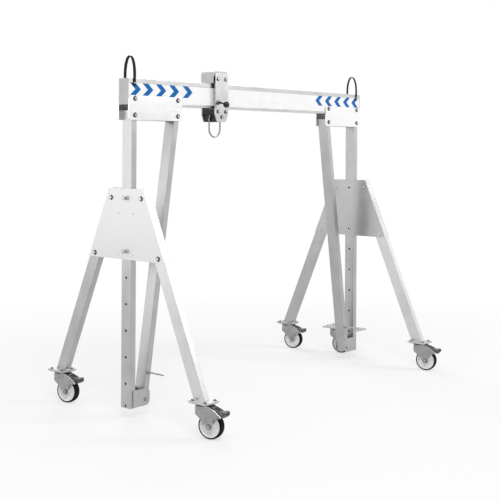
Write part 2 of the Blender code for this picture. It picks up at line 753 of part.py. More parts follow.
def locking_pin(z):
    """A pin drawn out of the mast, its shank still in the gusset's boss."""
    tip = -GUSSET_INNER - PIN_TIP_BACK
    stop = -GUSSET_OUTER - BOSS_HEIGHT - GAP - PIN_TRAVEL
    profile = [(stop - PIN_HEAD, PIN_HEAD_RADIUS), (stop, PIN_HEAD_RADIUS)]
    profile += [(stop, PIN_RADIUS), (tip, PIN_RADIUS)]
    return turned(profile, PIN_HOLE_SIDES, "X", (LEFT, 0, z))


def build_frames():
    owners = ("left_frame", "right_frame")
    at_both_ends("gusset_outer_{side}", outer_gusset(), "plate", *owners)
    at_both_ends("gusset_inner_{side}", inner_gusset(), "plate", *owners)
    for side, word in ((-1, "front"), (1, "back")):
        at_both_ends("leg_{side}_" + word, leg(side), "extrusion", *owners)
        at_both_ends("guide_{side}_" + word, guide(side), "guide_polymer", *owners)
    for z, word in zip(LOCK_HEIGHTS, ("high", "low")):
        for x, side in ((LEFT, "left"), (-LEFT, "right")):
            body(f"pin_{side}_{word}", f"{side}_frame", (x, 0, z))
        pins = [f"pin_{side}_{word}" for side in ("left", "right")]
        at_both_ends("locking_pin_{side}_" + word, locking_pin(z), "zinc", *pins)


# ---- Casters, modelled with the swivel axis on the origin and trailing to the front ----


def stud_places():
    return [(x * STUD_SPACING[0] / 2, y * STUD_SPACING[1] / 2) for x in (-1, 1) for y in (-1, 1)]


def stud_holes(x, y):
    radius = STUD_RADIUS + CLEARANCE
    reach = (FOOT_BOTTOM - PAST / 2, FOOT_TOP + PAST / 2)
    return [peg("Z", (x + dx, y + dy, 0), *reach, radius) for dx, dy in stud_places()]


def caster_plate():
    """The top plate, with its four studs and the nuts above the foot plate."""
    x_half, y_half = CASTER_PLATE_SIZE[0] / 2, CASTER_PLATE_SIZE[1] / 2
    plate = box((-x_half, x_half), (-y_half, y_half), (PLATE_BOTTOM, PLATE_TOP))
    nut = FOOT_TOP + GAP
    profile = [(PLATE_TOP - CASTER_PLATE / 2, STUD_RADIUS), (nut, STUD_RADIUS), (nut, STUD_NUT)]
    profile += [(nut + STUD_NUT_HEIGHT, STUD_NUT)]
    studs = [turned(profile, BOLT_SIDES, "Z", (x, y, 0)) for x, y in stud_places()]
    return joined(plate, together(*studs))


def cheek_outline():
    """A cheek as (behind the swivel axis, height): a hood over the tyre, on a leg to the axle."""
    hood = WHEEL_RADIUS + HOOD_ABOVE_AXLE
    points = [(-FORK_FRONT, CROWN_TOP), (-FORK_FRONT, CROWN_TOP - FORK_FRONT_DEPTH)]
    first, steps = math.radians(160), 5
    for step in range(steps + 1):
        angle = first + math.radians(220) * step / steps
        points.append((TRAIL + FORK_EYE * math.cos(angle), WHEEL_RADIUS + FORK_EYE * math.sin(angle)))
    points += [(TRAIL + 1.2 * FORK_EYE, hood - HOOD_EDGE), (TRAIL + 1.5 * FORK_EYE, hood)]
    points += [(TRAIL + HOOD_BACK - HOOD_EDGE, hood), (TRAIL + HOOD_BACK, hood + HOOD_EDGE)]
    points += [(TRAIL + HOOD_KNEE[0], CROWN_TOP - HOOD_KNEE[1]), (TRAIL, CROWN_TOP)]
    return points


def fork():
    """Swivel race, crown, two cheeks, the wheel's axle with its nuts, and the pedal's pin."""
    outer = FORK_INNER + FORK_WALL
    race = peg("Z", (0, 0, 0), CROWN_TOP - WELD, CROWN_TOP + RACE, RACE_RADIUS, RACE_SIDES)
    crown_back = PEDAL_PIVOT - 2.5 * PEDAL_PIN
    crown = box((-outer, outer), (-crown_back, FORK_FRONT), (CROWN_BOTTOM, CROWN_TOP))
    cheek = [(-back, height) for back, height in cheek_outline()]
    cheeks = [prism(cheek, "X", *sorted((side * FORK_INNER, side * outer))) for side in (-1, 1)]
    end = outer + AXLE_NUT_HEIGHT
    hub = [(-end, AXLE_NUT), (-outer + WELD, AXLE_NUT), (-outer + WELD, AXLE_RADIUS)]
    hub += [(-along, radius) for along, radius in hub[::-1]]
    axle = turned(hub, AXLE_SIDES, "X", (0, -TRAIL, WHEEL_RADIUS))
    pin = peg("X", (0, -PEDAL_PIVOT, PEDAL_Z), -outer, outer, PEDAL_PIN, AXLE_SIDES)
    return joined(cheeks[0], crown, cheeks[1], race, axle, pin)


def wheel():
    """Rim, web and tyre, about its own axle; a flat of the tread faces the floor."""
    vertex = WHEEL_RADIUS / math.cos(math.pi / WHEEL_SIDES)
    bore = (AXLE_RADIUS + CLEARANCE / 2) / math.cos(math.pi / WHEEL_SIDES)
    half = WHEEL_WIDTH / 2
    rim = WHEEL_RADIUS - RIM_DEPTH
    side = [(HUB_LENGTH / 2, bore), (HUB_LENGTH / 2, HUB_RADIUS), (half / 3, HUB_RADIUS + 0.004)]
    side += [(half / 3, rim - 0.004), (half * 0.86, rim), (half, vertex - 0.010), (half * 0.7, vertex)]
    profile = [(-along, radius) for along, radius in side][::-1] + side
    phase = math.pi / WHEEL_SIDES - math.pi / 2
    return turned(profile[::-1], WHEEL_SIDES, "X", bored=True, phase=phase)


def pedal():
    """Brake pedal: a pressed channel out to a thick toe, with the shoe above the tread."""
    top, front = PEDAL_Z + 2 * PEDAL_PIN, PEDAL_PIVOT - 0.008
    shoe = 2 * WHEEL_RADIUS + PEDAL_SHOE_GAP
    shoe_end = PEDAL_PIVOT + 0.020
    tip = PEDAL_REACH
    neck = tip - 2 * PEDAL_TOE
    toe_low = top - 0.060
    toe_top = toe_low + PEDAL_TOE_HEIGHT
    above = [(tip - 0.001, toe_top - 0.006), (tip - 0.010, toe_top), (neck, toe_top - 0.006)]
    above += [(neck - 0.013, toe_top + 0.002), (neck - 0.053, top - 0.002), (PEDAL_PIVOT + 0.032, top)]
    below = [(front, top), (front, PEDAL_Z - 0.008), (shoe_end - PEDAL_SHOE, shoe), (shoe_end, shoe)]
    below += [(shoe_end + 0.010, top - 0.022), (neck - 0.013, top - 0.040), (tip - 0.019, toe_low)]
    below += [(tip - 0.008, toe_low + 0.004), (tip, toe_low + 0.017)]
    lever = prism([(-back, z) for back, z in below + above], "X", -PEDAL_WIDTH / 2, PEDAL_WIDTH / 2)
    start, end = shoe_end + 0.006, tip - PEDAL_TOE
    roof = [(back, z - PEDAL_WALL) for back, z in above[2:]]
    inside = [(end, toe_low - PAST), (end, toe_top - 0.008)] + roof
    inside += [(start, top - PEDAL_WALL), (start, toe_low - PAST)]
    half = PEDAL_WIDTH / 2 - PEDAL_WALL
    channel = prism([(-back, z) for back, z in inside], "X", -half, half)
    bore = (PEDAL_PIN + CLEARANCE / 2) / math.cos(math.pi / AXLE_SIDES)
    hole = peg("X", (0, -PEDAL_PIVOT, PEDAL_Z), -PEDAL_WIDTH, PEDAL_WIDTH, bore, AXLE_SIDES)
    return cut(lever, channel, hole)


def build_casters():
    places = {
        "left_front": (LEFT, -CASTER_Y, "left_frame"),
        "left_back": (LEFT, CASTER_Y, "left_frame"),
        "right_front": (-LEFT, -CASTER_Y, "right_frame"),
        "right_back": (-LEFT, CASTER_Y, "right_frame"),
        "transport": (-LEFT + TRANSPORT_OUTWARD, TRANSPORT_BACK, "carriage"),
    }
    plate, swivel, tyre, brake = caster_plate(), fork(), wheel(), pedal()
    brake.transform(Matrix.Translation((0, PEDAL_PIVOT, -PEDAL_Z)))
    turn = Matrix.Rotation(CASTER_TURN, 4, "Z")
    for mesh in (swivel, tyre, brake):
        mesh.transform(turn)
    for word, (x, y, owner) in places.items():
        name = f"caster_{word}"
        axis = Vector((x, y, 0))
        body(f"{name}_seat", owner, axis)
        body(f"{name}_swivel", f"{name}_seat", axis)
        body(f"{name}_wheel_axis", f"{name}_swivel", axis + turn @ Vector((0, -TRAIL, WHEEL_RADIUS)))
        body(f"{name}_pedal_axis", f"{name}_swivel", axis + turn @ Vector((0, -PEDAL_PIVOT, PEDAL_Z)))
        piece(f"{name}_plate", plate, "zinc", f"{name}_seat", local=True)
        piece(f"{name}_fork", swivel, "zinc", f"{name}_swivel", local=True)
        piece(f"{name}_wheel", tyre, "wheel", f"{name}_wheel_axis", local=True)
        piece(f"{name}_pedal", brake, "pedal", f"{name}_pedal_axis", local=True)


def bracket_bolts():
    return [FOOT_BOTTOM - drop for drop in BRACKET_BOLTS]


def bracket_holes():
    """Cutters for the bracket's two bolts in the right mast's outer wall."""
    radius = BOLT_SHANK + CLEARANCE
    start = -LEFT + HALF_DEPTH - 2 * TUBE_WALL
    holes = [peg("X", (0, 0, z), start, start + PAST, radius) for z in bracket_bolts()]
    return together(*holes)


def bracket():
    """An angle bolted to the right mast, which carries the transport caster behind the foot."""
    face = -LEFT + HALF_DEPTH + GAP
    half = HALF_WIDTH - BRACKET_INSET
    outward = -LEFT + TRANSPORT_OUTWARD + FOOT_PLATE_SIZE[0] / 2
    back = TRANSPORT_BACK + FOOT_PLATE_SIZE[1] / 2
    arm = box((face, outward), (-half, back), (FOOT_BOTTOM, FOOT_TOP))
    flange = box((face, face + BRACKET), (-half, half), (FOOT_BOTTOM - BRACKET_FLANGE, FOOT_BOTTOM + WELD))
    profile = [(face - 2 * TUBE_WALL, BOLT_SHANK), (face + BRACKET - WELD, BOLT_SHANK)]
    profile += [(face + BRACKET - WELD, BOLT_HEAD), (face + BRACKET + BOLT_HEAD_HEIGHT, BOLT_HEAD)]
    bolts = [turned(profile, BOLT_SIDES, "X", (0, 0, z)) for z in bracket_bolts()]
    holes = stud_holes(-LEFT + TRANSPORT_OUTWARD, TRANSPORT_BACK)
    return cut(joined(arm, flange, together(*bolts)), together(*holes))


# ---- Trolley ----


def roller_places():
    return [TROLLEY_X - ROLLER_SPACING / 2, TROLLEY_X + ROLLER_SPACING / 2]


def spreader_places():
    return [TROLLEY_X - SPREADER_BOLT_HALF, TROLLEY_X + SPREADER_BOLT_HALF]


def side_plate(side):
    """One cheek. The front one carries the rollers' axles, the spreader bolts and the plunger's boss."""
    bottom = BASE_BOTTOM
    top = BEAM_TOP + SIDE_ABOVE_BEAM
    outline = [
        (TROLLEY_X - SIDE_FOOT_HALF, bottom),
        (TROLLEY_X + SIDE_FOOT_HALF, bottom),
        (TROLLEY_X + SIDE_HALF, bottom + SIDE_TAPER),
        (TROLLEY_X + SIDE_HALF, top),
        (TROLLEY_X - SIDE_HALF, top),
        (TROLLEY_X - SIDE_HALF, bottom + SIDE_TAPER),
    ]
    faces = sorted((side * SIDE_INNER, side * SIDE_OUTER))
    plate = prism(rounded(outline, SIDE_CORNER), "Y", *faces)
    screw = [(SIDE_INNER - SCREW_DEPTH, SCREW_SHANK), (SIDE_OUTER - WELD, SCREW_SHANK)]
    screw += [(SIDE_OUTER - WELD, SCREW_HEAD), (SIDE_OUTER + SCREW_HEAD_HEIGHT, SCREW_HEAD)]
    screw = [(side * along, radius) for along, radius in screw]
    low_screw = turned(screw, BOLT_SIDES, "Y", (TROLLEY_X, 0, BOW_PIN_Z))
    if side > 0:
        reach = (SIDE_INNER - PAST, SIDE_OUTER + PAST)
        radius = BOLT_SHANK + CLEARANCE
        holes = [peg("Y", (x, 0, ROLLER_Z), *reach, radius, AXLE_SIDES) for x in roller_places()]
        holes += [hole_between(x) for x in spreader_places()]
        return joined(cut(plate, together(*holes)), low_screw)
    axles = [round_bolt(x, ROLLER_Z) for x in roller_places()]
    spreaders = [
        bolt("Y", (x, 0, SPREADER_Z), -SIDE_OUTER, SIDE_OUTER, SPREADER_SHANK, SPREADER_HEAD)
        for x in spreader_places()
    ]
    knob_at = (TROLLEY_X - KNOB_BACK, 0, LOCK_Z)
    boss = peg("Y", knob_at, -PLUNGER_FACE, -SIDE_OUTER + WELD, PLUNGER_BOSS, AXLE_SIDES)
    bore = peg("Y", knob_at, -PLUNGER_FACE - PAST, -SIDE_INNER + PAST, PLUNGER_RADIUS + CLEARANCE, AXLE_SIDES)
    return cut(joined(plate, together(*axles, *spreaders, low_screw, boss)), bore)


def round_bolt(x, z):
    """A roller's axle: a twelve-sided shank, so that the roller turns freely on it."""
    low, high = -SIDE_OUTER, SIDE_OUTER
    profile = [(low - AXLE_NUT_HEIGHT, AXLE_NUT), (low + WELD, AXLE_NUT), (low + WELD, BOLT_SHANK)]
    profile += [(high + GAP, BOLT_SHANK), (high + GAP, AXLE_NUT), (high + GAP + AXLE_NUT_HEIGHT, AXLE_NUT)]
    return turned(profile, AXLE_SIDES, "Y", (x, 0, z))


def hole_between(x):
    reach = SIDE_OUTER + PAST
    return peg("Y", (x, 0, SPREADER_Z), -reach, reach, SPREADER_SHANK + CLEARANCE)


def roller():
    """A trolley wheel with long hub ends, about its own axle."""
    bore = (BOLT_SHANK + CLEARANCE / 2) / math.cos(math.pi / ROLLER_SIDES)
    hub = BETWEEN_SIDES - ROLLER_END_GAP
    tread = ROLLER_TREAD / 2
    rim = ROLLER_RADIUS  # of the corners, so that none reaches into the beam as it turns
    side = [(hub, bore), (hub, ROLLER_HUB), (tread, ROLLER_HUB)]
    side += [(tread, rim - ROLLER_CORNER), (tread - ROLLER_CORNER, rim)]
    profile = [(-along, radius) for along, radius in side][::-1] + side
    return turned(profile[::-1], ROLLER_SIDES, "Y", bored=True)


def cover():
    """A hood over both rollers, open underneath, its short side walls between the cheeks."""
    low = BEAM_TOP + COVER_FOOT
    top = BEAM_TOP + COVER_TOP
    outer = rectangle(TROLLEY_X - COVER_HALF, TROLLEY_X + COVER_HALF, low, top)
    inside = COVER_HALF - COVER_WALL
    inner = rectangle(TROLLEY_X - inside, TROLLEY_X + inside, low - PAST, top - COVER_WALL)
    below_walls = rectangle(TROLLEY_X - inside, TROLLEY_X + inside, low - PAST, BEAM_TOP + COVER_SIDE_FOOT)
    shell = prism(rounded(outer, [0, 0, COVER_CORNER, COVER_CORNER], 5), "Y", -BETWEEN_SIDES, BETWEEN_SIDES)
    round_in = COVER_CORNER - COVER_WALL
    width = BETWEEN_SIDES - COVER_WALL
    void = prism(rounded(inner, [0, 0, round_in, round_in], 5), "Y", -width, width)
    window = prism(below_walls, "Y", -BETWEEN_SIDES - PAST, BETWEEN_SIDES + PAST)
    return cut(shell, void, window)


def trolley_base():
    """The block between the cheeks, with the pin that the bow hangs on."""
    shoulder = BASE_TOP - BASE_SHOULDER
    outline = [
        (TROLLEY_X - BASE_NARROW, BASE_BOTTOM),
        (TROLLEY_X + BASE_NARROW, BASE_BOTTOM),
        (TROLLEY_X + BASE_NARROW, shoulder),
        (TROLLEY_X + BASE_WIDE, shoulder),
        (TROLLEY_X + BASE_WIDE, BASE_TOP),
        (TROLLEY_X - BASE_WIDE, BASE_TOP),
        (TROLLEY_X - BASE_WIDE, shoulder),
        (TROLLEY_X - BASE_NARROW, shoulder),
    ]
    block = prism(outline, "Y", -BETWEEN_SIDES, BETWEEN_SIDES)
    holes = [hole_between(x) for x in spreader_places()]
    for side in (-1, 1):
        reach = sorted((side * (SIDE_INNER - SCREW_DEPTH - CLEARANCE), side * (SIDE_INNER + PAST)))
        holes.append(peg("Y", (TROLLEY_X, 0, BOW_PIN_Z), *reach, SCREW_SHANK + CLEARANCE))
    end = BOW_HALF + BOW_ROD + BOW_PLAY
    profile = [(-end - BOW_PIN_HEAD_HEIGHT, BOW_PIN_HEAD), (-end, BOW_PIN_HEAD), (-end, BOW_PIN_RADIUS)]
    profile += [(-along, radius) for along, radius in profile[::-1]]
    return joined(cut(block, together(*holes)), turned(profile, AXLE_SIDES, "X", (TROLLEY_X, 0, BOW_PIN_Z)))


def bow():
    """A round rod bent into a U, with an eye on each end round the base's pin."""
    arc_z = BOW_PIN_Z - BOW_DROP + BOW_ROD + BOW_HALF
    end_z = BOW_PIN_Z - BOW_EYE * 0.75
    path = [Vector((TROLLEY_X - BOW_HALF, 0, end_z))]
    steps = 10
    for step in range(steps + 1):
        angle = math.pi + math.pi * step / steps
        path.append(Vector((TROLLEY_X + BOW_HALF * math.cos(angle), 0, arc_z + BOW_HALF * math.sin(angle))))
    path.append(Vector((TROLLEY_X + BOW_HALF, 0, end_z)))
    rod = swept(path, BOW_ROD, ROD_SIDES)
    bore = (BOW_PIN_RADIUS + CLEARANCE / 2) / math.cos(math.pi / AXLE_SIDES)
    eyes = []
    for side in (-1, 1):
        x = TROLLEY_X + side * BOW_HALF
        loop = [(-BOW_ROD, bore), (-BOW_ROD, BOW_EYE), (BOW_ROD, BOW_EYE), (BOW_ROD, bore)]
        eyes.append(turned(loop, AXLE_SIDES, "X", (x, 0, BOW_PIN_Z), bored=True))
    return joined(rod, *eyes)


def knob():
    """Spring plunger with a tapered stem and a ball."""
    x = TROLLEY_X - KNOB_BACK
    collar = -PLUNGER_FACE - GAP
    profile = [(collar - PLUNGER_COLLAR_LENGTH, PLUNGER_COLLAR), (collar, PLUNGER_COLLAR)]
    profile += [(collar, PLUNGER_RADIUS), (-HALF_WIDTH - PLUNGER_TIP_GAP, PLUNGER_RADIUS)]
    plunger = turned(profile, AXLE_SIDES, "Y", (x, 0, LOCK_Z))
    start = Vector((x, collar - 0.6 * PLUNGER_COLLAR_LENGTH, LOCK_Z))
    end = Vector((x, -SIDE_OUTER - KNOB_REACH, LOCK_Z)) + KNOB_DROOP
    return joined(plunger, tapered(start, end, *KNOB_STEM, AXLE_SIDES), ball(end, KNOB_BALL))


def build_trolley():
    piece("trolley_plate_front", side_plate(-1), "zinc", "trolley")
    piece("trolley_plate_back", side_plate(1), "zinc", "trolley")
    piece("trolley_cover", cover(), "housing", "trolley")
    piece("trolley_base", trolley_base(), "dark_steel", "trolley")
    wheel_mesh = roller()
    for x, word in zip(roller_places(), ("left", "right")):
        body(f"trolley_wheel_{word}_axis", "trolley", (x, 0, ROLLER_Z))
        piece(f"trolley_wheel_{word}", wheel_mesh, "dark_steel", f"trolley_wheel_{word}_axis", local=True)
    body("bow_axis", "trolley", (TROLLEY_X, 0, BOW_PIN_Z))
    piece("bow", bow(), "stainless", "bow_axis")
    body("knob_axis", "trolley", (TROLLEY_X - KNOB_BACK, 0, LOCK_Z))
    piece("lock_knob", knob(), "knob", "knob_axis")


# ---- The whole crane ----


def centre_over_origin():
    """Moves the crane so that its bounding box is centred over the origin, on the floor."""
    bpy.context.view_layer.update()
    corners = []
    for item in bpy.context.scene.objects:
        if item.type == "MESH":
            corners += [item.matrix_world @ vertex.co for vertex in item.data.vertices]
    for axis in (0, 1):
        values = [corner[axis] for corner in corners]
        bodies["crane"][0].location[axis] = -(min(values) + max(values)) / 2


def main():
    for item in list(bpy.data.objects):
        bpy.data.objects.remove(item)
    body("crane", None)
    body("left_frame", "crane", (LEFT, 0, 0))
    body("carriage", "left_frame", (LEFT, 0, MAST_BOTTOM))
    body("right_frame", "carriage", (-LEFT, 0, 0))
    body("trolley", "carriage", (TROLLEY_X, 0, BEAM_TOP))
    build_carriage()
    build_frames()
    build_casters()
    piece("transport_bracket", bracket(), "plate", "carriage")
    build_trolley()
    centre_over_origin()


main()
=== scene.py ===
"""Looks of the portable gantry crane: finishes for every CAD node, small fittings, smooth wheels, straps,
bow and knob, and the camera, light and floor. X runs along the beam, Y across it and Z up, in metres.
"""

import json
import math

import bpy
from mathutils import Matrix, Vector, noise


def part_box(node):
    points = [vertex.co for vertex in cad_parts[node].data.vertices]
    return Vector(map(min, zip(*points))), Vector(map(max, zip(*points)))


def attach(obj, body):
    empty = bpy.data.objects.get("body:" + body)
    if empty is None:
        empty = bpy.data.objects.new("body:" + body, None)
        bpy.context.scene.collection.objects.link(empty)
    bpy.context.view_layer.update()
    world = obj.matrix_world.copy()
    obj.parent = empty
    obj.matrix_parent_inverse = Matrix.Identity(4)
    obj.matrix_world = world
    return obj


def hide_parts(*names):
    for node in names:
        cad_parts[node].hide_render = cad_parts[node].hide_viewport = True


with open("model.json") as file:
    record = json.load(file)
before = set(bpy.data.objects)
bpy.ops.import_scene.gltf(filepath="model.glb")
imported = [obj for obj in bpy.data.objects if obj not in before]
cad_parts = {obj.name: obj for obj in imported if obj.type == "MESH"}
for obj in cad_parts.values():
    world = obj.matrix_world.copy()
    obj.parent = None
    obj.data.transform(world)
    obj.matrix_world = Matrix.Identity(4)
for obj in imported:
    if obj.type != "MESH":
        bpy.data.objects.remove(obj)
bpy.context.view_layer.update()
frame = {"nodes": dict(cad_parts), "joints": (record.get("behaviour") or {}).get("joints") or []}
nodes = frame["nodes"]
joints = {joint["name"]: joint for joint in frame["joints"]}

# ---- Places, all read from the CAD ----


def middle(node):
    low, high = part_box(node)
    return (low + high) / 2


SIDES = ("left", "right")
CASTERS = ("left_front", "left_back", "right_front", "right_back", "transport")
BEAM_LOW, BEAM_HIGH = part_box("beam")
MID_Y = middle("beam").y
BEAM_HALF = (BEAM_HIGH.y - BEAM_LOW.y) / 2
MAST_X = {side: middle(f"guide_{side}_front").x for side in SIDES}
MAST_HALF = (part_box("guide_left_front")[1].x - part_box("guide_left_front")[0].x) / 2

# Shapes that the CAD states only in its own source
WEB_RECESS = 0.0025
FIT = 0.0003
HEAD_PLATE = 0.010
GUSSET_PLATE = 0.008
FOOT_PLATE = 0.012
CHEEK_PLATE = 0.012
LEG_FOOT_Y = 0.726  # from the middle to a leg's centre-line at its foot plate
LEG_LEAN = math.radians(22.95)
BRACE_RUN = (0.315, 2.075)  # X and Z from a brace's foot bolt to its head bolt

# ---- Materials ----


def add(tree, kind, inputs=None, **settings):
    """A shader node; each input is a value or another node's socket."""
    made = tree.nodes.new(kind)
    for name, value in settings.items():
        setattr(made, name, value)
    for name, value in (inputs or {}).items():
        if isinstance(value, bpy.types.NodeSocket):
            tree.links.new(value, made.inputs[name])
        else:
            made.inputs[name].default_value = value
    return made


def surface(name, **sockets):
    """A material with a Principled shader, and the sockets that are the same all over."""
    material = bpy.data.materials.new(name)
    material.use_nodes = True
    shader = material.node_tree.nodes["Principled BSDF"]
    for socket, value in sockets.items():
        shader.inputs[socket.replace("_", " ").title().replace("Ior", "IOR")].default_value = value
    return material, material.node_tree, shader


def grey(value, warmth=0.0):
    return (value * (1 + warmth), value, value * (1 - warmth), 1)


def place(tree, scale=(1, 1, 1), turn=(0, 0, 0)):
    """Object coordinates, turned and stretched."""
    coordinates = add(tree, "ShaderNodeTexCoord").outputs["Object"]
    mapping = {"Vector": coordinates, "Rotation": turn, "Scale": scale}
    return add(tree, "ShaderNodeMapping", mapping).outputs["Vector"]


def cloud(tree, vector, scale, detail=3.0, roughness=0.55):
    made = add(
        tree,
        "ShaderNodeTexNoise",
        {"Vector": vector, "Scale": scale, "Detail": detail, "Roughness": roughness},
    )
    return made.outputs["Fac"]


def spread(tree, value, low, high, start=0.3, end=0.7):
    """value, from start to end, as a number from low to high."""
    sockets = {"Value": value, "From Min": start, "From Max": end, "To Min": low, "To Max": high}
    return add(tree, "ShaderNodeMapRange", sockets).outputs["Result"]


def tint(tree, factor, first, second):
    ramp = add(tree, "ShaderNodeValToRGB", {"Fac": factor})
    ramp.color_ramp.elements[0].color = first
    ramp.color_ramp.elements[1].color = second
    return ramp.outputs["Color"]


def blend(tree, factor, first, second):
    made = add(tree, "ShaderNodeMix", data_type="RGBA")
    for socket, value in ((0, factor), (6, first), (7, second)):
        if isinstance(value, bpy.types.NodeSocket):
            tree.links.new(value, made.inputs[socket])
        else:
            made.inputs[socket].default_value = value
    return made.outputs[2]


def arithmetic(tree, operation, first, second):
    made = add(tree, "ShaderNodeMath", operation=operation)
    for socket, value in enumerate((first, second)):
        if isinstance(value, bpy.types.NodeSocket):
            tree.links.new(value, made.inputs[socket])
        else:
            made.inputs[socket].default_value = value
    return made.outputs[0]


def weighted(tree, first, share, second, rest):
    """Two values added, each times its share."""
    scaled = arithmetic(tree, "MULTIPLY", first, share), arithmetic(tree, "MULTIPLY", second, rest)
    return arithmetic(tree, "ADD", *scaled)


def relief(tree, shader, height, strength, depth):
    bump = add(
        tree, "ShaderNodeBump", {"Height": height, "Strength": strength, "Distance": depth}
    )
    tree.links.new(bump.outputs["Normal"], shader.inputs["Normal"])


def drawn_metal(name, dark, light, rough, stretch, turn=(0, 0, 0), blotch=5.0):
    """Aluminium with fine lines along its draw, handling marks and a soft sheen. stretch is the
    lines' frequency along X, Y and Z; the lowest runs along the metal."""
    material, tree, shader = surface(name, metallic=1.0)
    lines = cloud(tree, place(tree, stretch, turn), 1.0, 4.0, 0.6)
    marks = cloud(tree, place(tree), blotch, 4.0, 0.6)
    fine = cloud(tree, place(tree), 160.0, 2.0)
    mixed = weighted(tree, lines, 0.45, marks, 0.55)
    color = tint(tree, spread(tree, mixed, 0, 1), grey(dark), grey(light))
    tree.links.new(color, shader.inputs["Base Color"])
    roughness = spread(tree, arithmetic(tree, "ADD", mixed, spread(tree, fine, -0.08, 0.08)), *rough)
    tree.links.new(roughness, shader.inputs["Roughness"])
    relief(tree, shader, lines, 0.35, 0.00012)
    return material


def bright_edge(name, base, light, rough):
    """Edge metal in patches. Light, it is metal rubbed bright by handling and also a painted highlight; dark,
    it is painted shade along rounded corners.
    """
    material, tree, shader = surface(name, metallic=1.0)
    patches = cloud(tree, place(tree), 28.0, 5.0, 0.7)
    factor = spread(tree, patches, 0, 1, 0.42, 0.6)
    tree.links.new(tint(tree, factor, grey(base), grey(light)), shader.inputs["Base Color"])
    tree.links.new(spread(tree, patches, rough[1], rough[0]), shader.inputs["Roughness"])
    relief(tree, shader, patches, 0.3, 0.0002)
    return material


def plated_steel(name, dark, light, rough, warmth=0.02):
    """Zinc plating: small crystals of slightly different grey, and smudges."""
    material, tree, shader = surface(name, metallic=1.0)
    crystals = add(tree, "ShaderNodeTexVoronoi", {"Vector": place(tree), "Scale": 130.0})
    tone = add(tree, "ShaderNodeSeparateColor", {"Color": crystals.outputs["Color"]}).outputs[0]
    smudge = cloud(tree, place(tree), 17.0, 4.0, 0.6)
    mixed = weighted(tree, tone, 0.3, smudge, 0.7)
    ends = grey(dark, warmth), grey(light, -warmth / 2)
    color = tint(tree, spread(tree, mixed, 0, 1, 0.25, 0.75), *ends)
    tree.links.new(color, shader.inputs["Base Color"])
    tree.links.new(spread(tree, mixed, *rough), shader.inputs["Roughness"])
    relief(tree, shader, cloud(tree, place(tree), 420.0, 2.0), 0.25, 0.0001)
    return material


def moulded(name, dark, light, rough, grain=600.0, depth=0.00025, **sockets):
    """Plastic or rubber with a fine moulded grain, dust in patches and uneven gloss."""
    material, tree, shader = surface(name, **sockets)
    patches = cloud(tree, place(tree), 22.0, 4.0, 0.65)
    grains = add(tree, "ShaderNodeTexVoronoi", {"Vector": place(tree), "Scale": grain}).outputs["Distance"]
    color = tint(tree, spread(tree, patches, 0, 1), grey(dark), grey(light))
    tree.links.new(color, shader.inputs["Base Color"])
    mixed = weighted(tree, patches, 1.0, grains, 0.2)
    tree.links.new(spread(tree, mixed, *rough), shader.inputs["Roughness"])
    relief(tree, shader, grains, 0.4, depth)
    return material


def painted(name, dark, light, rough, worn, wear=0.62, hue=(1, 1, 1), **sockets):
    """Paint with an orange-peel skin, rubbed through to metal in a few small spots."""
    material, tree, shader = surface(name, **sockets)
    patches = cloud(tree, place(tree), 14.0, 5.0, 0.65)
    chips = cloud(tree, place(tree), 75.0, 6.0, 0.7)
    first = tuple(dark * part for part in hue) + (1,)
    second = tuple(light * part for part in hue) + (1,)
    paint = tint(tree, spread(tree, patches, 0, 1), first, second)
    bare = spread(tree, chips, 0, 1, wear, wear + 0.05)
    tree.links.new(blend(tree, bare, paint, grey(worn)), shader.inputs["Base Color"])
    tree.links.new(spread(tree, patches, *rough), shader.inputs["Roughness"])
    relief(tree, shader, cloud(tree, place(tree), 260.0, 2.0), 0.3, 0.0002)
    return material


def woven(name, dark, light):
    """Black webbing: a twill of coarse yarns along and across the strap, read from its UV map."""
    material, tree, shader = surface(name, sheen_weight=0.1, sheen_roughness=0.5, specular_ior_level=0.1)
    along = add(tree, "ShaderNodeUVMap", uv_map="weave").outputs["UV"]
    twill = {"Vector": along, "Scale": 170.0, "Distortion": 0.4, "Detail Scale": 4.0}
    yarns = add(tree, "ShaderNodeTexWave", twill, wave_type="BANDS", bands_direction="DIAGONAL")
    cross = {"Vector": along, "Scale": 230.0, "Distortion": 0.3}
    ribs = add(tree, "ShaderNodeTexWave", cross, wave_type="BANDS", bands_direction="Y")
    weave = arithmetic(tree, "MULTIPLY", yarns.outputs["Fac"], ribs.outputs["Fac"])
    dust = cloud(tree, place(tree), 30.0, 4.0, 0.7)
    mixed = weighted(tree, weave, 0.6, dust, 0.4)
    tree.links.new(tint(tree, mixed, grey(dark), grey(light)), shader.inputs["Base Color"])
    tree.links.new(spread(tree, mixed, 0.85, 0.6), shader.inputs["Roughness"])
    relief(tree, shader, weave, 0.7, 0.0006)
    return material


FINE, LONG = 320.0, 5.0
ALONG_X, ALONG_Y, ALONG_Z = (LONG, FINE, FINE), (FINE, LONG, FINE), (FINE, FINE, LONG)
BRACE_LEAN = math.atan2(*BRACE_RUN)
ALUMINIUM = {"dark": 0.36, "light": 0.52, "rough": (0.28, 0.44)}
# A lighter copy of the aluminium for the front legs: painted light on them.
LIT_LEG_TONES = {"dark": 0.54, "light": 0.68, "rough": (0.30, 0.46)}
# A lighter copy of the aluminium for the left gussets: painted light on them.
SHEET = {"dark": 0.56, "light": 0.70, "rough": (0.42, 0.58)}
BEAM = {"dark": 0.40, "light": 0.54, "rough": (0.28, 0.44)}
HEAD_SHEET = {"dark": 0.64, "light": 0.78, "rough": (0.26, 0.42)}
CHEEK_SHEET = {"dark": 0.42, "light": 0.56, "rough": (0.3, 0.45)}

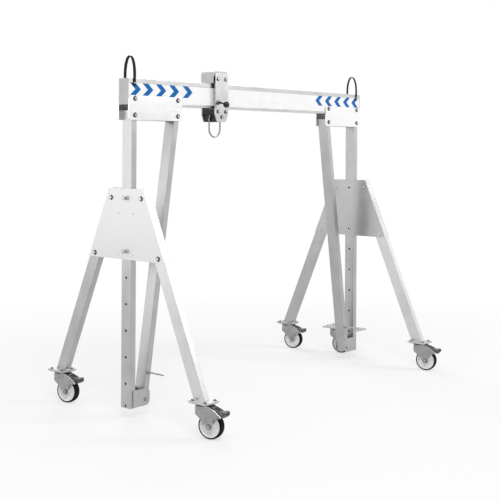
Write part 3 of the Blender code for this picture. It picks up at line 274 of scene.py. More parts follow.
beam_metal = drawn_metal("beam_aluminium", stretch=ALONG_X, **BEAM)
mast_metal = drawn_metal("mast_aluminium", stretch=ALONG_Z, **ALUMINIUM)
# The front legs take a lighter aluminium than the back legs: painted light on the front legs and painted
# shade on the back ones.
leg_metal_lit_and_shaded = {
    word: drawn_metal(f"leg_aluminium_painted_light_{word}", stretch=ALONG_Z, turn=(turn * LEG_LEAN, 0, 0), **tones)
    for word, turn, tones in (("front", 1, LIT_LEG_TONES), ("back", -1, ALUMINIUM))
}
brace_metal = {
    side: drawn_metal(f"brace_aluminium_{side}", stretch=ALONG_Z, turn=(0, turn * BRACE_LEAN, 0), **ALUMINIUM)
    for side, turn in (("left", -1), ("right", 1))
}
# The left gussets take a lighter aluminium than the right ones: painted light on the left end and painted
# shade on the right end.
gusset_metal_lit_and_shaded = {
    side: drawn_metal(f"gusset_sheet_painted_light_{side}", stretch=ALONG_Y, blotch=3.5, **tones)
    for side, tones in (("left", SHEET), ("right", ALUMINIUM))
}
head_metal = drawn_metal("head_plate_sheet", stretch=ALONG_X, blotch=4.0, **HEAD_SHEET)
cheek_metal = drawn_metal("trolley_sheet", stretch=ALONG_Z, blotch=9.0, **CHEEK_SHEET)
# Bright edges: rubbed by handling, and a painted highlight along them.
rubbed_highlight_metal = bright_edge("rubbed_aluminium_highlight", 0.74, 0.92, (0.16, 0.34))
# Darker metal on the rounded corners of the mast, brace and leg tubes: painted shade along each corner.
corner_shade_metal = bright_edge("extruded_corner_shade", 0.22, 0.40, (0.25, 0.45))
zinc = plated_steel("zinc_plating", 0.24, 0.42, (0.22, 0.42))
fastener = plated_steel("fastener_steel", 0.38, 0.60, (0.22, 0.40), 0.03)
# Near-black steel for washers and bolt-head rims: partly the washers' own dark, partly painted shade round
# each head.
washer_steel_and_shade = plated_steel("washer_steel_and_shade", 0.05, 0.13, (0.3, 0.5), 0.02)
rod_steel = plated_steel("bow_steel", 0.20, 0.38, (0.18, 0.34), 0.01)
rubbed_highlight_zinc = bright_edge("rubbed_zinc_highlight", 0.58, 0.80, (0.15, 0.35))
cap_plastic = moulded("cap_plastic", 0.46, 0.55, (0.42, 0.6))
guide_plastic = moulded("guide_plastic", 0.008, 0.018, (0.5, 0.7), specular_ior_level=0.15)
tyre_rubber = moulded(
    "tyre_rubber", 0.003, 0.012, (0.6, 0.85), grain=900.0, depth=0.0003, specular_ior_level=0.12
)
wheel_plastic = moulded("wheel_plastic", 0.76, 0.86, (0.36, 0.52))
rib_rubber = moulded("rib_rubber", 0.006, 0.018, (0.55, 0.75), grain=900.0, specular_ior_level=0.2)
seal_plastic = moulded("race_seal", 0.006, 0.016, (0.4, 0.6), specular_ior_level=0.2)
knob_plastic = moulded(
    "knob_plastic", 0.006, 0.014, (0.10, 0.22), grain=900.0, depth=0.00004, specular_ior_level=0.35
)
pedal_paint = painted("pedal_paint", 0.060, 0.120, (0.34, 0.52), 0.34, 0.60, specular_ior_level=0.3)
# Near-black for the block under the beam between the trolley's cheeks.
near_black_base = painted("near_black_base", 0.008, 0.020, (0.3, 0.46), 0.20, 0.64, specular_ior_level=0.25)
roller_paint = painted("roller_steel", 0.07, 0.14, (0.26, 0.42), 0.35, 0.60, metallic=0.9)
housing_paint = painted("housing_paint", 0.50, 0.60, (0.34, 0.50), 0.62, 0.66)
strap_fabric = woven("strap_webbing", 0.003, 0.024)
thread = moulded("strap_thread", 0.05, 0.09, (0.6, 0.8), grain=1500.0)
BLUE = (0.0, 0.125, 0.42)
arrow_film = painted(
    "arrow_film", 0.88, 1.0, (0.32, 0.46), 0.30, 0.74, hue=BLUE, specular_ior_level=0.15
)
white_film = painted("white_film", 0.80, 0.88, (0.34, 0.50), 0.55, 0.80)
weld_metal = plated_steel("weld_metal", 0.50, 0.72, (0.26, 0.46))

# ---- Finishes on the CAD nodes ----


def finish(name, main, edge, width):
    """Gives a CAD node its finish and, as modifiers, slightly rounded edges in a second finish: rubbed wear
    with a painted highlight on most metal, painted shade on the tubes' corners.
    """
    item = nodes[name]
    mesh = item.data
    for attribute in [a for a in mesh.attributes if a.name == "custom_normal"]:
        mesh.attributes.remove(attribute)
    mesh.polygons.foreach_set("use_smooth", [True] * len(mesh.polygons))
    item.material_slots[0].material = main
    mesh.materials.append(edge)
    weld = item.modifiers.new("Weld", "WELD")
    weld.merge_threshold = 0.00002
    flat = item.modifiers.new("Flat faces", "DECIMATE")
    flat.decimate_type, flat.angle_limit = "DISSOLVE", math.radians(0.6)
    bevel = item.modifiers.new("Edges", "BEVEL")
    bevel.width, bevel.segments, bevel.limit_method = width, 2, "ANGLE"
    bevel.angle_limit, bevel.harden_normals, bevel.material = math.radians(40), True, 1
    bevel.use_clamp_overlap = True
    return item


def repaint(name, material, chosen):
    """Gives the faces of a CAD node that chosen(centre) picks another finish."""
    mesh = nodes[name].data
    mesh.materials.append(material)
    index = len(mesh.materials) - 1
    for face in mesh.polygons:
        if chosen(face.center):
            face.material_index = index


finish("beam", beam_metal, rubbed_highlight_metal, 0.0010)
for side in SIDES:
    finish(f"mast_{side}", mast_metal, corner_shade_metal, 0.0018)
    finish(f"brace_{side}", brace_metal[side], corner_shade_metal, 0.0018)
    finish(f"end_cap_{side}", cap_plastic, cap_plastic, 0.0015)
    for word in ("front", "back"):
        finish(f"leg_{side}_{word}", leg_metal_lit_and_shaded[word], corner_shade_metal, 0.0018)
        finish(f"guide_{side}_{word}", guide_plastic, guide_plastic, 0.0015)
        finish(f"head_plate_{word}_{side}", head_metal, rubbed_highlight_metal, 0.0010)
    for word in ("outer", "inner"):
        finish(f"gusset_{word}_{side}", gusset_metal_lit_and_shaded[side], rubbed_highlight_metal, 0.0010)
    for word in ("high", "low"):
        finish(f"locking_pin_{side}_{word}", fastener, rubbed_highlight_zinc, 0.0008)
for caster in CASTERS:
    finish(f"caster_{caster}_plate", zinc, rubbed_highlight_zinc, 0.0008)
    finish(f"caster_{caster}_fork", zinc, rubbed_highlight_zinc, 0.0008)
    finish(f"caster_{caster}_pedal", pedal_paint, rubbed_highlight_zinc, 0.0008)
# The transport bracket takes the right gussets' darker copy: painted shade.
finish("transport_bracket", gusset_metal_lit_and_shaded["right"], rubbed_highlight_metal, 0.0010)
for word in ("front", "back"):
    finish(f"trolley_plate_{word}", cheek_metal, rubbed_highlight_metal, 0.0008)
finish("trolley_cover", housing_paint, housing_paint, 0.0012)
finish("trolley_base", near_black_base, near_black_base, 0.0010)
for side in SIDES:
    finish(f"trolley_wheel_{side}", roller_paint, rubbed_highlight_zinc, 0.0006)

# Bolts are joined to their plates in the CAD: their faces get the steel's finish
head_face = BEAM_HALF + FIT + HEAD_PLATE
gusset_face = MAST_HALF + FIT + GUSSET_PLATE
for side in SIDES:
    for word in ("front", "back"):
        repaint(f"head_plate_{word}_{side}", fastener, lambda c: abs(c.y - MID_Y) > head_face + FIT)
        repaint(f"head_plate_{word}_{side}", fastener, lambda c: abs(c.y - MID_Y) < BEAM_HALF - FIT)
    for word in ("outer", "inner"):
        repaint(
            f"gusset_{word}_{side}",
            fastener,
            lambda c, x=MAST_X[side]: not MAST_HALF < abs(c.x - x) < gusset_face + FIT,
        )
cheek_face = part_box("trolley_cover")[1].y - MID_Y + FIT
cheek_outer = cheek_face + CHEEK_PLATE
for word in ("front", "back"):
    repaint(
        f"trolley_plate_{word}",
        fastener,
        lambda c: not cheek_face - 0.002 < abs(c.y - MID_Y) < cheek_outer + FIT,
    )
for caster in CASTERS:
    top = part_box(f"caster_{caster}_plate")[1].z
    repaint(f"caster_{caster}_plate", fastener, lambda c, top=top: c.z > top - 0.0212)

# ---- New pieces ----


def new_piece(name, points, faces, material, body, stands_for=(), sharp=35.0):
    """A mesh piece with smooth curved faces and crisp edges, riding on a CAD body."""
    mesh = bpy.data.meshes.new(name)
    mesh.from_pydata([tuple(p) for p in points], [], faces)
    mesh.materials.append(material)
    item = bpy.data.objects.new(name, mesh)
    bpy.context.scene.collection.objects.link(item)
    mesh.polygons.foreach_set("use_smooth", [True] * len(mesh.polygons))
    mesh.set_sharp_from_angle(angle=math.radians(sharp))
    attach(item, body)
    if stands_for:
        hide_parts(*stands_for)
    return item


class Shape:
    """Points and faces of a piece, gathered from several simple shapes."""

    def __init__(self):
        self.points, self.faces = [], []

    def put(self, points, faces):
        start = len(self.points)
        self.points += [Vector(p) for p in points]
        self.faces += [tuple(start + i for i in face) for face in faces]
        return self

    def turned(self, profile, centre, axis, sides):
        """A profile of (along, radius) pairs turned about an axis; radius 0 closes it."""
        along = "XYZ".index(axis)
        points, rings = [], []
        for height, radius in profile:
            ring = []
            for step in range(1 if radius == 0 else sides):
                angle = 2 * math.pi * step / sides
                at = [radius * math.cos(angle), radius * math.sin(angle)]
                at.insert(along, height) if along else at.insert(0, height)
                ring.append(len(points))
                points.append(Vector(at) + Vector(centre))
            rings.append(ring)
        faces = []
        for low, high in zip(rings, rings[1:]):
            for step in range(sides):
                after = (step + 1) % sides
                face = [low[step % len(low)], low[after % len(low)]]
                face += [high[after % len(high)], high[step % len(high)]]
                face = list(dict.fromkeys(face))
                if len(face) > 2:
                    faces.append(face if along != 1 else face[::-1])
        return self.put(points, faces)

    def swept(self, path, radii, sides):
        """A round rod through points, with a radius at each."""
        path = [Vector(p) for p in path]
        points, faces = [], []
        side = None
        for i, at in enumerate(path):
            direction = (path[min(i + 1, len(path) - 1)] - path[max(i - 1, 0)]).normalized()
            if side is None:
                side = direction.orthogonal().normalized()
            side = (side - direction * side.dot(direction)).normalized()
            other = direction.cross(side)
            for step in range(sides):
                angle = 2 * math.pi * step / sides
                points.append(at + radii[i] * (math.cos(angle) * side + math.sin(angle) * other))
        for i in range(len(path) - 1):
            for step in range(sides):
                after = (step + 1) % sides
                low, high = i * sides, (i + 1) * sides
                faces.append((low + step, low + after, high + after, high + step))
        faces.append(tuple(range(sides))[::-1])
        faces.append(tuple((len(path) - 1) * sides + step for step in range(sides)))
        return self.put(points, faces)

    def moved(self, matrix):
        self.points = [matrix @ point for point in self.points]
        return self

    def plate(self, outline, axis, low, high):
        """An outline in the other two axes, thick along one."""
        along = "XYZ".index(axis)
        points = []
        for depth in (low, high):
            for pair in outline:
                at = list(pair)
                at.insert(along, depth)
                points.append(Vector(at))
        n = len(outline)
        faces = [tuple(range(n)), tuple(range(2 * n - 1, n - 1, -1))]
        faces += [(i, n + i, n + (i + 1) % n, (i + 1) % n) for i in range(n)]
        return self.put(points, faces)


def fastener_places(name, axis, face):
    """Centres of the bolt heads that stand past a plate's face, read from the CAD node's points.
    face is where the plate ends along the axis; heads further out on that side are found."""
    along = "XYZ".index(axis)
    others = [i for i in range(3) if i != along]
    low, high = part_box(name)
    outward = 1 if face > (low[along] + high[along]) / 2 else -1
    groups = []
    for vertex in nodes[name].data.vertices:
        if (vertex.co[along] - face) * outward < 0.004:
            continue
        at = (vertex.co[others[0]], vertex.co[others[1]])
        height = abs(vertex.co[along] - face)
        near = [g for g in groups if math.dist(g[0][:2], at) < 0.034]
        if near:
            near[0].append((*at, height))
        else:
            groups.append([(*at, height)])
    places = []
    for group in groups:
        spot = [(min(p[i] for p in group) + max(p[i] for p in group)) / 2 for i in (0, 1)]
        radius = max(math.dist(spot, p[:2]) for p in group)
        places.append((spot, radius, max(p[2] for p in group)))
    return places, outward


def chamfer(radius, height):
    """The dark turned edge round a bolt head's end, as (along, radius) pairs. Its near-black is painted shade
    round the head's rim.
    """
    start, shoulder, end = height - 0.0030, height - 0.0012, height + 0.0003
    ring = [(start, radius * 0.98), (start, radius * 1.04), (shoulder, radius * 1.04)]
    return ring + [(end, radius * 0.84), (end, radius * 0.72), ring[0]]


LARGEST_HEAD = 0.0145  # a locking pin's boss is wider
WASHER = 0.0018
WASHER_RIM = 0.0048  # how far a washer stands out round a bolt head
SUNK = 0.0001  # how far a fitting reaches into the face that it sits on


def washers(name, axis, face, body, bolts=None):
    """Flat rings under the bolt heads on a plate, and the heads' turned edges, as one piece; their near-black
    is partly the washers' own dark steel and partly painted shade round each head.
    bolts is the node that holds the bolts, if they aren't the plate's own."""
    along = "XYZ".index(axis)
    places, outward = fastener_places(bolts or name, axis, face)
    shape = Shape()
    for spot, radius, height in places:
        if radius > LARGEST_HEAD:
            continue
        centre = list(spot)
        centre.insert(along, face)
        inner, outer = radius * 0.7, radius + WASHER_RIM
        ring = [(0.0, inner), (0.0, outer), (0.0014, outer)]
        ring += [(WASHER, outer - 0.0005), (WASHER, inner), (0.0, inner)]
        for profile in (ring, chamfer(radius, height)):
            profile = [(outward * (rise - SUNK), width) for rise, width in profile]
            shape.turned(profile, centre, axis, 24)
    return new_piece(f"washers_{name}", shape.points, shape.faces, washer_steel_and_shade, body)


def pan_screws(name, places, axis, outward, radius, body):
    """Small domed screw heads with a cross slot, as one piece."""
    shape = Shape()
    for centre in places:
        dome = [(-0.0004, radius), (0.0008, radius), (0.0018, radius * 0.86), (0.0025, radius * 0.55)]
        dome += [(0.0025, radius * 0.30), (0.0013, radius * 0.22), (0.0013, 0)]
        shape.turned([(outward * height, width) for height, width in dome], centre, axis, 16)
    return new_piece(name, shape.points, shape.faces, fastener, body)


def pin_edge(name, outward, body):
    """The dark turned edge of a locking pin's head; its near-black is painted shade round the rim."""
    low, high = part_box(name)
    end = low.x if outward < 0 else high.x
    centre = (end, (low.y + high.y) / 2, (low.z + high.z) / 2)
    ring = [(outward * rise, width) for rise, width in chamfer((high.z - low.z) / 2, 0.0)]
    shape = Shape().turned(ring, centre, "X", 32)
    new_piece(f"edge_{name}", shape.points, shape.faces, washer_steel_and_shade, body)


GUIDE_SCREW_Y = 0.077  # from the middle
COVER_SCREW_Y = 0.048
for side, outward in (("left", -1), ("right", 1)):
    for level in ("high", "low"):
        pin_edge(f"locking_pin_{side}_{level}", outward, f"pin_{side}_{level}")
    for word, sign in (("front", -1), ("back", 1)):
        face = MID_Y + sign * head_face
        washers(f"head_plate_{word}_{side}", "Y", face, "carriage", f"head_plate_front_{side}")
    x = MAST_X[side]
    washers(f"gusset_outer_{side}", "X", x + outward * gusset_face, f"{side}_frame")
    low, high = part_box(f"guide_{side}_front")
    levels = (high.z - 0.024, low.z + 0.019)
    spots = [(MID_Y + sign * GUIDE_SCREW_Y, z) for sign in (-1, 1) for z in levels]
    for word, sign in (("outer", outward), ("inner", -outward)):
        places = [(x + sign * gusset_face, y, z) for y, z in spots]
        pan_screws(f"guide_screws_{word}_{side}", places, "X", sign, 0.0055, f"{side}_frame")
    cap_low, cap_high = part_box(f"end_cap_{side}")
    face = cap_low.x if side == "left" else cap_high.x
    places = [(face, MID_Y, cap_high.z - 0.016), (face, MID_Y, cap_low.z + 0.018)]
    pan_screws(f"end_cap_screws_{side}", places, "X", outward, 0.0050, "carriage")
    for word in ("front", "back"):
        foot_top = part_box(f"leg_{side}_{word}")[0].z + FOOT_PLATE
        washers(f"caster_{side}_{word}_plate", "Z", foot_top, f"{side}_frame")
for word, sign in (("front", -1), ("back", 1)):
    washers(f"trolley_plate_{word}", "Y", MID_Y + sign * cheek_outer, "trolley")
cover_low, cover_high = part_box("trolley_cover")
levels = (cover_low.z + 0.030, cover_high.z - 0.018)
for word, x, outward in (("left", cover_low.x, -1), ("right", cover_high.x, 1)):
    places = [(x, MID_Y + y, z) for y in (COVER_SCREW_Y, -COVER_SCREW_Y) for z in levels]
    pan_screws(f"cover_screws_{word}", places, "X", outward, 0.0050, "trolley")

# Direction arrows on the beam's front web
ARROW_HALF, ARROW_RUN, ARROW_WIDTH = 0.044, 0.052, 0.057
WEB_BOTTOM, WEB_TOP = BEAM_LOW.z + 0.0205, BEAM_HIGH.z - 0.0325
ARROW_TIPS = {  # from each end of the beam
    "left": (0.123, 0.248, 0.382, 0.520, 0.667),
    "right": (0.128, 0.262, 0.401, 0.543, 0.687),
}
arrow_z = BEAM_LOW.z + 0.113
web = BEAM_LOW.y + WEB_RECESS
film = Shape().plate(
    [(BEAM_LOW.x, WEB_BOTTOM), (BEAM_LOW.x, WEB_TOP), (BEAM_HIGH.x, WEB_TOP), (BEAM_HIGH.x, WEB_BOTTOM)],
    "Y", web + 0.0002, web - 0.0003,
)
new_piece("web_film", film.points, film.faces, white_film, "carriage")
for side in SIDES:
    shape = Shape()
    for reach in ARROW_TIPS[side]:
        facing = 1 if side == "left" else -1
        tip = (BEAM_LOW.x if side == "left" else BEAM_HIGH.x) + facing * reach
        back = tip - facing * (ARROW_RUN + ARROW_WIDTH)
        outline = [
            (back, arrow_z + ARROW_HALF),
            (tip - facing * ARROW_RUN, arrow_z + ARROW_HALF),
            (tip, arrow_z),
            (tip - facing * ARROW_RUN, arrow_z - ARROW_HALF),
            (back, arrow_z - ARROW_HALF),
            (tip - facing * ARROW_WIDTH, arrow_z),
        ]
        if facing < 0:
            outline.reverse()
        shape.plate(outline, "Y", web - 0.0001, web - 0.0006)
    new_piece(f"arrows_{side}", shape.points, shape.faces, arrow_film, "carriage")


# Straps: a smooth band with rounded edges, stitched and screwed to the beam's sides


def strap(side):
    node = f"strap_{side}"
    low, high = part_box(node)
    x = (low.x + high.x) / 2
    half_width = (high.x - low.x) / 2
    thick = 0.0040
    shoulder = BEAM_HIGH.z + 0.030
    outer_half = (high.y - low.y) / 2
    middle_half = outer_half - thick / 2
    rise = high.z - thick / 2 - shoulder
    line = [(middle_half, low.z), (middle_half, (low.z + shoulder) / 2)]
    steps = 40
    for step in range(steps + 1):
        angle = math.pi * step / steps
        line.append((middle_half * math.cos(angle), shoulder + rise * math.sin(angle)))
    line += [(-y, z) for y, z in line[1::-1]]
    across = [(-1, 0), (-0.96, 0.55), (-0.86, 1), (0, 1), (0.86, 1), (0.96, 0.55), (1, 0)]
    across += [(0.96, -0.55), (0.86, -1), (0, -1), (-0.86, -1), (-0.96, -0.55)]
    points, uvs, run = [], [], 0.0
    for i, (y, z) in enumerate(line):
        before, after = line[max(i - 1, 0)], line[min(i + 1, len(line) - 1)]
        direction = Vector((after[0] - before[0], after[1] - before[1])).normalized()
        outward = Vector((direction.y, -direction.x))
        if i:
            run += math.dist(line[i - 1], (y, z))
        for wide, deep in across:
            offset = outward * deep * thick / 2
            points.append((x + wide * half_width, MID_Y + y + offset.x, z + offset.y))
            uvs.append((run, wide * half_width))
    n = len(across)
    faces = []
    for i in range(len(line) - 1):
        for step in range(n):
            after = (step + 1) % n
            faces.append((i * n + step, i * n + after, (i + 1) * n + after, (i + 1) * n + step))
    faces += [tuple(range(n))[::-1], tuple((len(line) - 1) * n + step for step in range(n))]
    item = new_piece(f"strap_band_{side}", points, faces, strap_fabric, "carriage", [node], 50)
    layer = item.data.uv_layers.new(name="weave")
    for loop in item.data.loops:
        layer.data[loop.index].uv = uvs[loop.vertex_index]
    stitches = Shape()
    for sign in (-1, 1):
        face = MID_Y + sign * outer_half
        for offset in (-0.0095, 0.0095):
            for step in range(9):
                z = low.z + 0.010 + step * 0.0075
                path = [(x + offset, face - sign * 0.0002, z + d) for d in (0.0, 0.0015, 0.0035, 0.005)]
                stitches.swept(path, [0.0003, 0.0005, 0.0005, 0.0003], 6)
    new_piece(f"strap_stitches_{side}", stitches.points, stitches.faces, thread, "carriage")
    for word, sign in (("front", -1), ("back", 1)):
        places = [(x, MID_Y + sign * outer_half, low.z + 0.020)]
        pan_screws(f"strap_screw_{side}_{word}", places, "Y", sign, 0.0065, "carriage")


for side in SIDES:
    strap(side)

# Casters: a crowned tyre on a ribbed centre, a seal round the race, a rolled edge along the fork's hood
# and a ribbed toe on the pedal. Each is modelled as if it trails to the front, about its own axis.

TYRE_HALF = 0.029
TYRE_DEPTH = 0.015
SIDE_RING = 0.0125  # how much of the tyre shows from the side
HUB_HALF = 0.032
TRAIL = 0.062
WHEEL_RADIUS = 0.090
CHEEK_FACE = 0.039  # from the caster's middle to a cheek's outer face
AXLE, AXLE_WASHER = 0.0080, 0.0170
CROWN_TOP = 0.2215
HOOD = ((0.002, 0.0), (0.050, 0.025), (0.095, 0.061))  # its top edge: behind the axle, below the crown's top
PEDAL_REACH = 0.188  # behind the swivel axis
PEDAL_HALF = 0.030
TOE = (0.177, 0.191)  # lowest and highest point of its back face
TREAD = ((0.096, 0.214), (0.129, 0.2008))  # the pedal's slope, where its ribs are: behind the axis, height


def joint_frame(name):
    """A matrix that lays a shape about the X axis on a joint's axis."""
    axis = Vector(joints[name]["axis"])
    return Matrix.Translation(joints[name]["pos_m"]) @ Matrix.Rotation(math.atan2(axis.y, axis.x), 4, "Z")


def tyre(word):
    """A crowned tyre with rounded shoulders."""
    half, rim = TYRE_HALF, WHEEL_RADIUS - SIDE_RING
    inside = WHEEL_RADIUS - TYRE_DEPTH
    tread = [(-half * 0.97, rim + 0.0002), (-half, rim + 0.0012), (-half * 0.97, WHEEL_RADIUS - 0.0050)]
    tread += [(-half * 0.84, WHEEL_RADIUS - 0.0022), (-half * 0.58, WHEEL_RADIUS - 0.0006)]
    tread += [(-half * 0.2, WHEEL_RADIUS)]
    tread += [(-along, width) for along, width in tread[::-1]]
    tread += [(half * 0.7, inside), (-half * 0.7, inside), tread[0]]
    shape = Shape().turned(tread, (0, 0, 0), "X", 72).moved(joint_frame(f"caster_{word}_wheel_turn"))
    node = f"caster_{word}_wheel"
    return new_piece(
        f"{node}_tyre", shape.points, shape.faces, tyre_rubber, f"caster_{word}_roll", [node]
    )


def wheel_centre(word):
    """A dished disc with ten ribs on each side, out to the tyre."""
    half, rim, hub, bore = TYRE_HALF, WHEEL_RADIUS - SIDE_RING, 0.021, 0.0085
    side = [(HUB_HALF, bore), (HUB_HALF, 0.0155), (HUB_HALF - 0.002, 0.018)]
    side += [(half * 0.80, hub), (half * 0.42, hub + 0.004), (half * 0.36, rim - 0.016)]
    side += [(half * 0.50, rim - 0.010), (half * 0.86, rim - 0.006), (half * 0.95, rim - 0.0035)]
    side += [(half * 0.93, rim + 0.0005)]
    shape = Shape()
    closed = [(-a, w) for a, w in side] + [(a, w) for a, w in side[::-1]] + [(-side[0][0], bore)]
    shape.turned(closed, (0, 0, 0), "X", 72)
    ribs = 10
    for step in range(ribs):
        angle = 2 * math.pi * step / ribs
        out = Vector((0, math.cos(angle), math.sin(angle)))
        across = Vector((0, -math.sin(angle), math.cos(angle)))
        for sign in (-1, 1):
            points = []
            for distance, depth, thick in ((hub - 0.002, 0.72, 0.0022), (rim - 0.010, 0.50, 0.0014)):
                for along in (half * 0.3, half * depth):
                    for way in (-1, 1):
                        points.append(out * distance + across * way * thick + Vector((sign * along, 0, 0)))
            sides = [(0, 1, 5, 4), (2, 6, 7, 3), (0, 4, 6, 2), (1, 3, 7, 5), (0, 2, 3, 1), (4, 5, 7, 6)]
            shape.put(points, sides if sign > 0 else [face[::-1] for face in sides])
    shape.moved(joint_frame(f"caster_{word}_wheel_turn"))
    node = f"caster_{word}_wheel"
    return new_piece(
        f"{node}_centre", shape.points, shape.faces, wheel_plastic, f"caster_{word}_roll", [node]
    )


def race_seal(word):
    """The dark seal round the swivel's ball race, under the plate."""
    low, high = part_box(f"caster_{word}_plate")
    axis = Vector(((low.x + high.x) / 2, (low.y + high.y) / 2, low.z))
    seal = [(-0.0116, 0.0405), (-0.0116, 0.0510), (-0.0096, 0.0545), (-0.0024, 0.0545)]
    seal += [(-0.0010, 0.0530), (-0.0010, 0.0405), (-0.0116, 0.0405)]
    shape = Shape().turned(seal, axis, "Z", 48)
    body = f"caster_{word}_swivel"
    new_piece(f"caster_{word}_seal", shape.points, shape.faces, seal_plastic, body)


def about_swivel(word):
    """A matrix that lays a shape, made about the swivel axis from the floor up, on its caster."""
    at = Vector(joints[f"caster_{word}_swivel_turn"]["pos_m"])
    at.z = 0
    turn = joint_frame(f"caster_{word}_wheel_turn").to_3x3().to_4x4()
    return Matrix.Translation(at) @ turn


def axle_washers(word):
    """A dark washer round each end of the axle; its near-black is partly painted shade."""
    shape = Shape()
    for sign in (-1, 1):
        ring = [(0.0, AXLE), (0.0, AXLE_WASHER), (0.0016, AXLE_WASHER), (0.0020, AXLE_WASHER - 0.0006)]
        ring += [(0.0020, AXLE), (0.0, AXLE)]
        profile = [(sign * (CHEEK_FACE - SUNK + along), width) for along, width in ring]
        shape.turned(profile, (0, 0, 0), "X", 24)
    shape.moved(joint_frame(f"caster_{word}_wheel_turn"))
    name, body = f"caster_{word}_axle_washers", f"caster_{word}_swivel"
    new_piece(name, shape.points, shape.faces, washer_steel_and_shade, body)


def hood_highlight_edge(word):
    """The rolled edge along the top of each cheek's hood, in bright zinc that is also a painted highlight
    line along it.
    """
    shape = Shape()
    for sign in (-1, 1):
        path = [(sign * CHEEK_FACE, 0.030, CROWN_TOP - 0.0005)]
        path += [(sign * CHEEK_FACE, -TRAIL - back, CROWN_TOP - drop - 0.0005) for back, drop in HOOD]
        shape.swept(path, [0.0012] + [0.0022] * (len(path) - 2) + [0.0016], 10)
    shape.moved(about_swivel(word))
    body = f"caster_{word}_swivel"
    new_piece(f"caster_{word}_hood_highlight_edge", shape.points, shape.faces, rubbed_highlight_zinc, body)


def toe_ribs(word):
    """Anti-slip ribs across the pedal's slope and up its toe's back face."""
    shape = Shape()
    count, radius = 5, 0.0022
    for step in range(count):
        share = step / (count - 1)
        back, height = (TREAD[0][i] + (TREAD[1][i] - TREAD[0][i]) * share for i in (0, 1))
        ends = (-PEDAL_HALF + 0.005, PEDAL_HALF - 0.005)
        shape.swept([(x, -back, height) for x in ends], [radius, radius], 10)
        x = (share - 0.5) * 2 * (PEDAL_HALF - 0.006)
        shape.swept([(x, -PEDAL_REACH + 0.0002, z) for z in TOE], [radius, radius], 10)
    shape.moved(about_swivel(word))
    body = f"caster_{word}_brake"
    new_piece(f"caster_{word}_toe_ribs", shape.points, shape.faces, rib_rubber, body)


for caster in CASTERS:
    tyre(caster)
    wheel_centre(caster)
    race_seal(caster)
    axle_washers(caster)
    hood_highlight_edge(caster)
    toe_ribs(caster)

# Bow: a smooth round rod with its two eyes


def bow():
    low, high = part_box("bow")
    rod, bore, eye = 0.0065, 0.0086, (high.y - low.y) / 2
    centre = Vector(((low.x + high.x) / 2, (low.y + high.y) / 2, high.z - eye))
    half = (high.x - low.x) / 2 - rod
    arc = low.z + rod + half
    path = [(centre.x - half, centre.y, centre.z - eye * 0.7)]
    steps = 32
    for step in range(steps + 1):
        angle = math.pi + math.pi * step / steps
        path.append((centre.x + half * math.cos(angle), centre.y, arc + half * math.sin(angle)))
    path.append((centre.x + half, centre.y, centre.z - eye * 0.7))
    shape = Shape().swept(path, [rod] * len(path), 20)
    for sign in (-1, 1):
        loop = [(-rod, bore), (-rod, eye - 0.002), (-rod + 0.002, eye), (rod - 0.002, eye)]
        loop += [(rod, eye - 0.002), (rod, bore), (-rod, bore)]
        shape.turned(loop, centre + Vector((sign * half, 0, 0)), "X", 32)
    new_piece("bow_rod", shape.points, shape.faces, rod_steel, "bow", ["bow"])


bow()

# Knob: plunger, waisted stem and a ball with a parting line

CHEEK_HALF = 0.075  # half the front plate's width
KNOB_FROM_MIDDLE = 0.0445  # of the front plate, towards -X


def knob():
    low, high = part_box("lock_knob")
    ball, plunger, shoulder, length = 0.025, 0.0062, 0.010, 0.012
    z = high.z - shoulder
    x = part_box("trolley_plate_front")[0].x + CHEEK_HALF - KNOB_FROM_MIDDLE
    centre = Vector((low.x + ball, low.y + ball, low.z + ball))
    collar = MID_Y - cheek_outer - length - FIT
    shape = Shape()
    profile = [(high.y - collar, 0), (high.y - collar, plunger), (0, plunger), (0, shoulder)]
    profile += [(-0.010, shoulder), (-length, 0.006), (-length, 0)]
    shape.turned(profile, (x, collar, z), "Y", 24)
    start = Vector((x, collar - 0.006, z))
    path = [start.lerp(centre, t) for t in (0.0, 0.12, 0.3, 0.5, 0.68, 0.8)]
    shape.swept(path, [0.0088, 0.0088, 0.0070, 0.0060, 0.0066, 0.0095], 20)
    direction = (centre - start).normalized()
    side = direction.orthogonal().normalized()
    other = direction.cross(side)
    points, faces = [], []
    rows, columns, parting = 25, 36, (12, 13)
    for row in range(1, rows):
        angle = math.pi * row / rows
        width = ball * math.sin(angle)
        if row in parting:
            width *= 0.993
        for column in range(columns):
            turn = 2 * math.pi * column / columns
            round_stem = width * (math.cos(turn) * side + math.sin(turn) * other)
            points.append(centre - direction * ball * math.cos(angle) + round_stem)
    for row in range(rows - 2):
        for column in range(columns):
            after = (column + 1) % columns
            a, b = row * columns, (row + 1) * columns
            faces.append((a + column, a + after, b + after, b + column))
    points += [centre - direction * ball, centre + direction * ball]
    last = (rows - 2) * columns
    for column in range(columns):
        after = (column + 1) % columns
        faces += [(len(points) - 2, after, column), (len(points) - 1, last + column, last + after)]
    shape.put(points, faces)
    new_piece("knob_ball", shape.points, shape.faces, knob_plastic, "knob", ["lock_knob"])


knob()

# Weld beads where each leg meets its foot plate

WELD_BEAD = 0.0036


def bead(shape, start, end, radius, seed):
    """A rippled fillet along a line."""
    length = (end - start).length
    steps = max(8, int(length / 0.0022))
    path, radii = [], []
    for step in range(steps + 1):
        t = step / steps
        at = start.lerp(end, t)
        wander = 0.0004 * noise.noise(Vector((t * 9, seed, 0)))
        path.append(at + Vector((0, 0, wander)))
        ends = min(1.0, 6 * t + 0.35, 6 * (1 - t) + 0.35)
        uneven = 0.1 * noise.noise(Vector((t * 23, seed, 5)))
        radii.append(radius * ends * (1 + 0.16 * math.cos(step * math.pi * 0.5) + uneven))
    shape.swept(path, radii, 10)


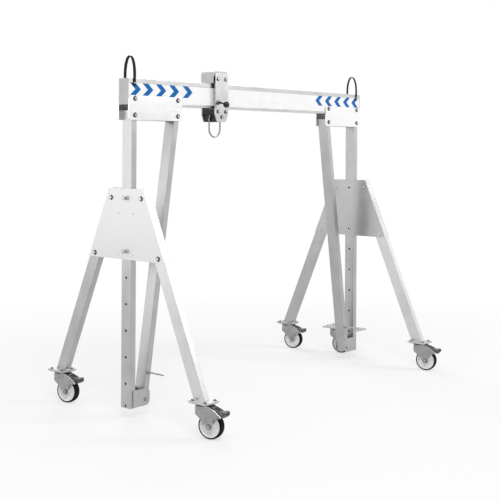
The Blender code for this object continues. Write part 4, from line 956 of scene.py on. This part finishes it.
for side in SIDES:
    for word, sign in (("front", -1), ("back", 1)):
        low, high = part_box(f"leg_{side}_{word}")
        foot_top = low.z + FOOT_PLATE
        centre_y = MID_Y + sign * LEG_FOOT_Y
        half_y = BEAM_HALF / math.cos(LEG_LEAN)
        x = MAST_X[side]
        corners = [
            Vector((x + dx * MAST_HALF, centre_y + dy * half_y, foot_top))
            for dx, dy in ((-1, -1), (1, -1), (1, 1), (-1, 1))
        ]
        shape = Shape()
        for i in range(4):
            bead(shape, corners[i], corners[(i + 1) % 4], WELD_BEAD, i + 4 * sign)
        name, body = f"foot_weld_{side}_{word}", f"{side}_frame"
        new_piece(name, shape.points, shape.faces, weld_metal, body)

# ---- Camera, light and floor ----

FRAME = 500  # pixels
FOCAL = 1016.3126  # in pixels of the frame
HEADING = 0.7018  # of the view, from +X
ROLL = 0.0055
HORIZON = 146.0476  # row of the frame
FROM_LEFT_MAST = Vector((-5.0646, -5.4260, 1.9780))
camera = bpy.data.objects.new("camera", bpy.data.cameras.new("camera"))
bpy.context.scene.collection.objects.link(camera)
camera.data.sensor_width = 36
camera.data.lens = 36 * FOCAL / FRAME
camera.data.shift_y = (HORIZON - FRAME / 2) / FRAME
camera.data.clip_end = 200
forward = Vector((math.cos(HEADING), math.sin(HEADING), 0))
level = Vector((math.sin(HEADING), -math.cos(HEADING), 0))
upright = level.cross(forward)
right = level * math.cos(ROLL) + upright * math.sin(ROLL)
up = upright * math.cos(ROLL) - level * math.sin(ROLL)
turned = Matrix((right, up, -forward)).transposed().to_4x4()
viewpoint = Vector((MAST_X["left"], MID_Y, 0)) + FROM_LEFT_MAST
camera.matrix_world = Matrix.Translation(viewpoint) @ turned
bpy.context.scene.camera = camera


def lamp(name, at, towards, size, power):
    light = bpy.data.lights.new(name, "AREA")
    light.shape, light.size, light.energy = "DISK", size, power
    item = bpy.data.objects.new(name, light)
    bpy.context.scene.collection.objects.link(item)
    item.location = at
    item.rotation_euler = (Vector(towards) - Vector(at)).to_track_quat("-Z", "Y").to_euler()


lamp("key", (-4.5, -4.0, 6.5), (0, 0, 1.0), 4.0, 260)
lamp("fill", (3.4, -4.0, 4.6), (0, 0, 1.3), 2.0, 110)
lamp("left", (-4.6, 2.4, 1.9), (-1.4, 0, 1.5), 2.4, 20)
lamp("front right", (5.5, -2.8, 2.4), (1.35, 0, 1.9), 2.0, 5)
lamp("back", (3.0, 5.5, 5.5), (0, 0, 1.2), 3.5, 140)


def shows_background(tree):
    """1 where the camera, a reflection or glass looks at the background."""
    path = add(tree, "ShaderNodeLightPath").outputs
    seen = arithmetic(tree, "MAXIMUM", path["Is Camera Ray"], path["Is Glossy Ray"])
    return arithmetic(tree, "MAXIMUM", seen, path["Is Transmission Ray"])


world = bpy.data.worlds.new("studio")
bpy.context.scene.world = world
world.use_nodes = True
tree = world.node_tree
background = tree.nodes["Background"]
background.inputs["Color"].default_value = (1, 1, 1, 1)
tree.links.new(spread(tree, shows_background(tree), 0.5, 1.0, 0, 1), background.inputs["Strength"])

floor_mesh = bpy.data.meshes.new("floor")
FLOOR_HALF = 60
corners = [(x * FLOOR_HALF, y * FLOOR_HALF, 0) for x, y in ((-1, -1), (1, -1), (1, 1), (-1, 1))]
floor_mesh.from_pydata(corners, [], [(0, 1, 2, 3)])
floor = bpy.data.objects.new("floor", floor_mesh)
bpy.context.scene.collection.objects.link(floor)
floor.location.z = -0.0005
floor_material, tree, shader = surface("pale_floor", roughness=0.9, specular_ior_level=0.1)
shader.inputs["Base Color"].default_value = (0.86, 0.86, 0.86, 1)
floor_mesh.materials.append(floor_material)
glow = add(tree, "ShaderNodeEmission", {"Color": (1, 1, 1, 1), "Strength": 1.0})
distance = add(tree, "ShaderNodeVectorMath", {0: place(tree)}, operation="LENGTH").outputs["Value"]
far = spread(tree, distance, 0.6, 1.0, 1.8, 5.0)
lit = arithmetic(tree, "MULTIPLY", far, shows_background(tree))
mixed = add(tree, "ShaderNodeMixShader", {0: lit, 1: shader.outputs[0], 2: glow.outputs[0]})
tree.links.new(mixed.outputs[0], tree.nodes["Material Output"].inputs["Surface"])

bpy.context.scene.view_settings.view_transform = "Standard"
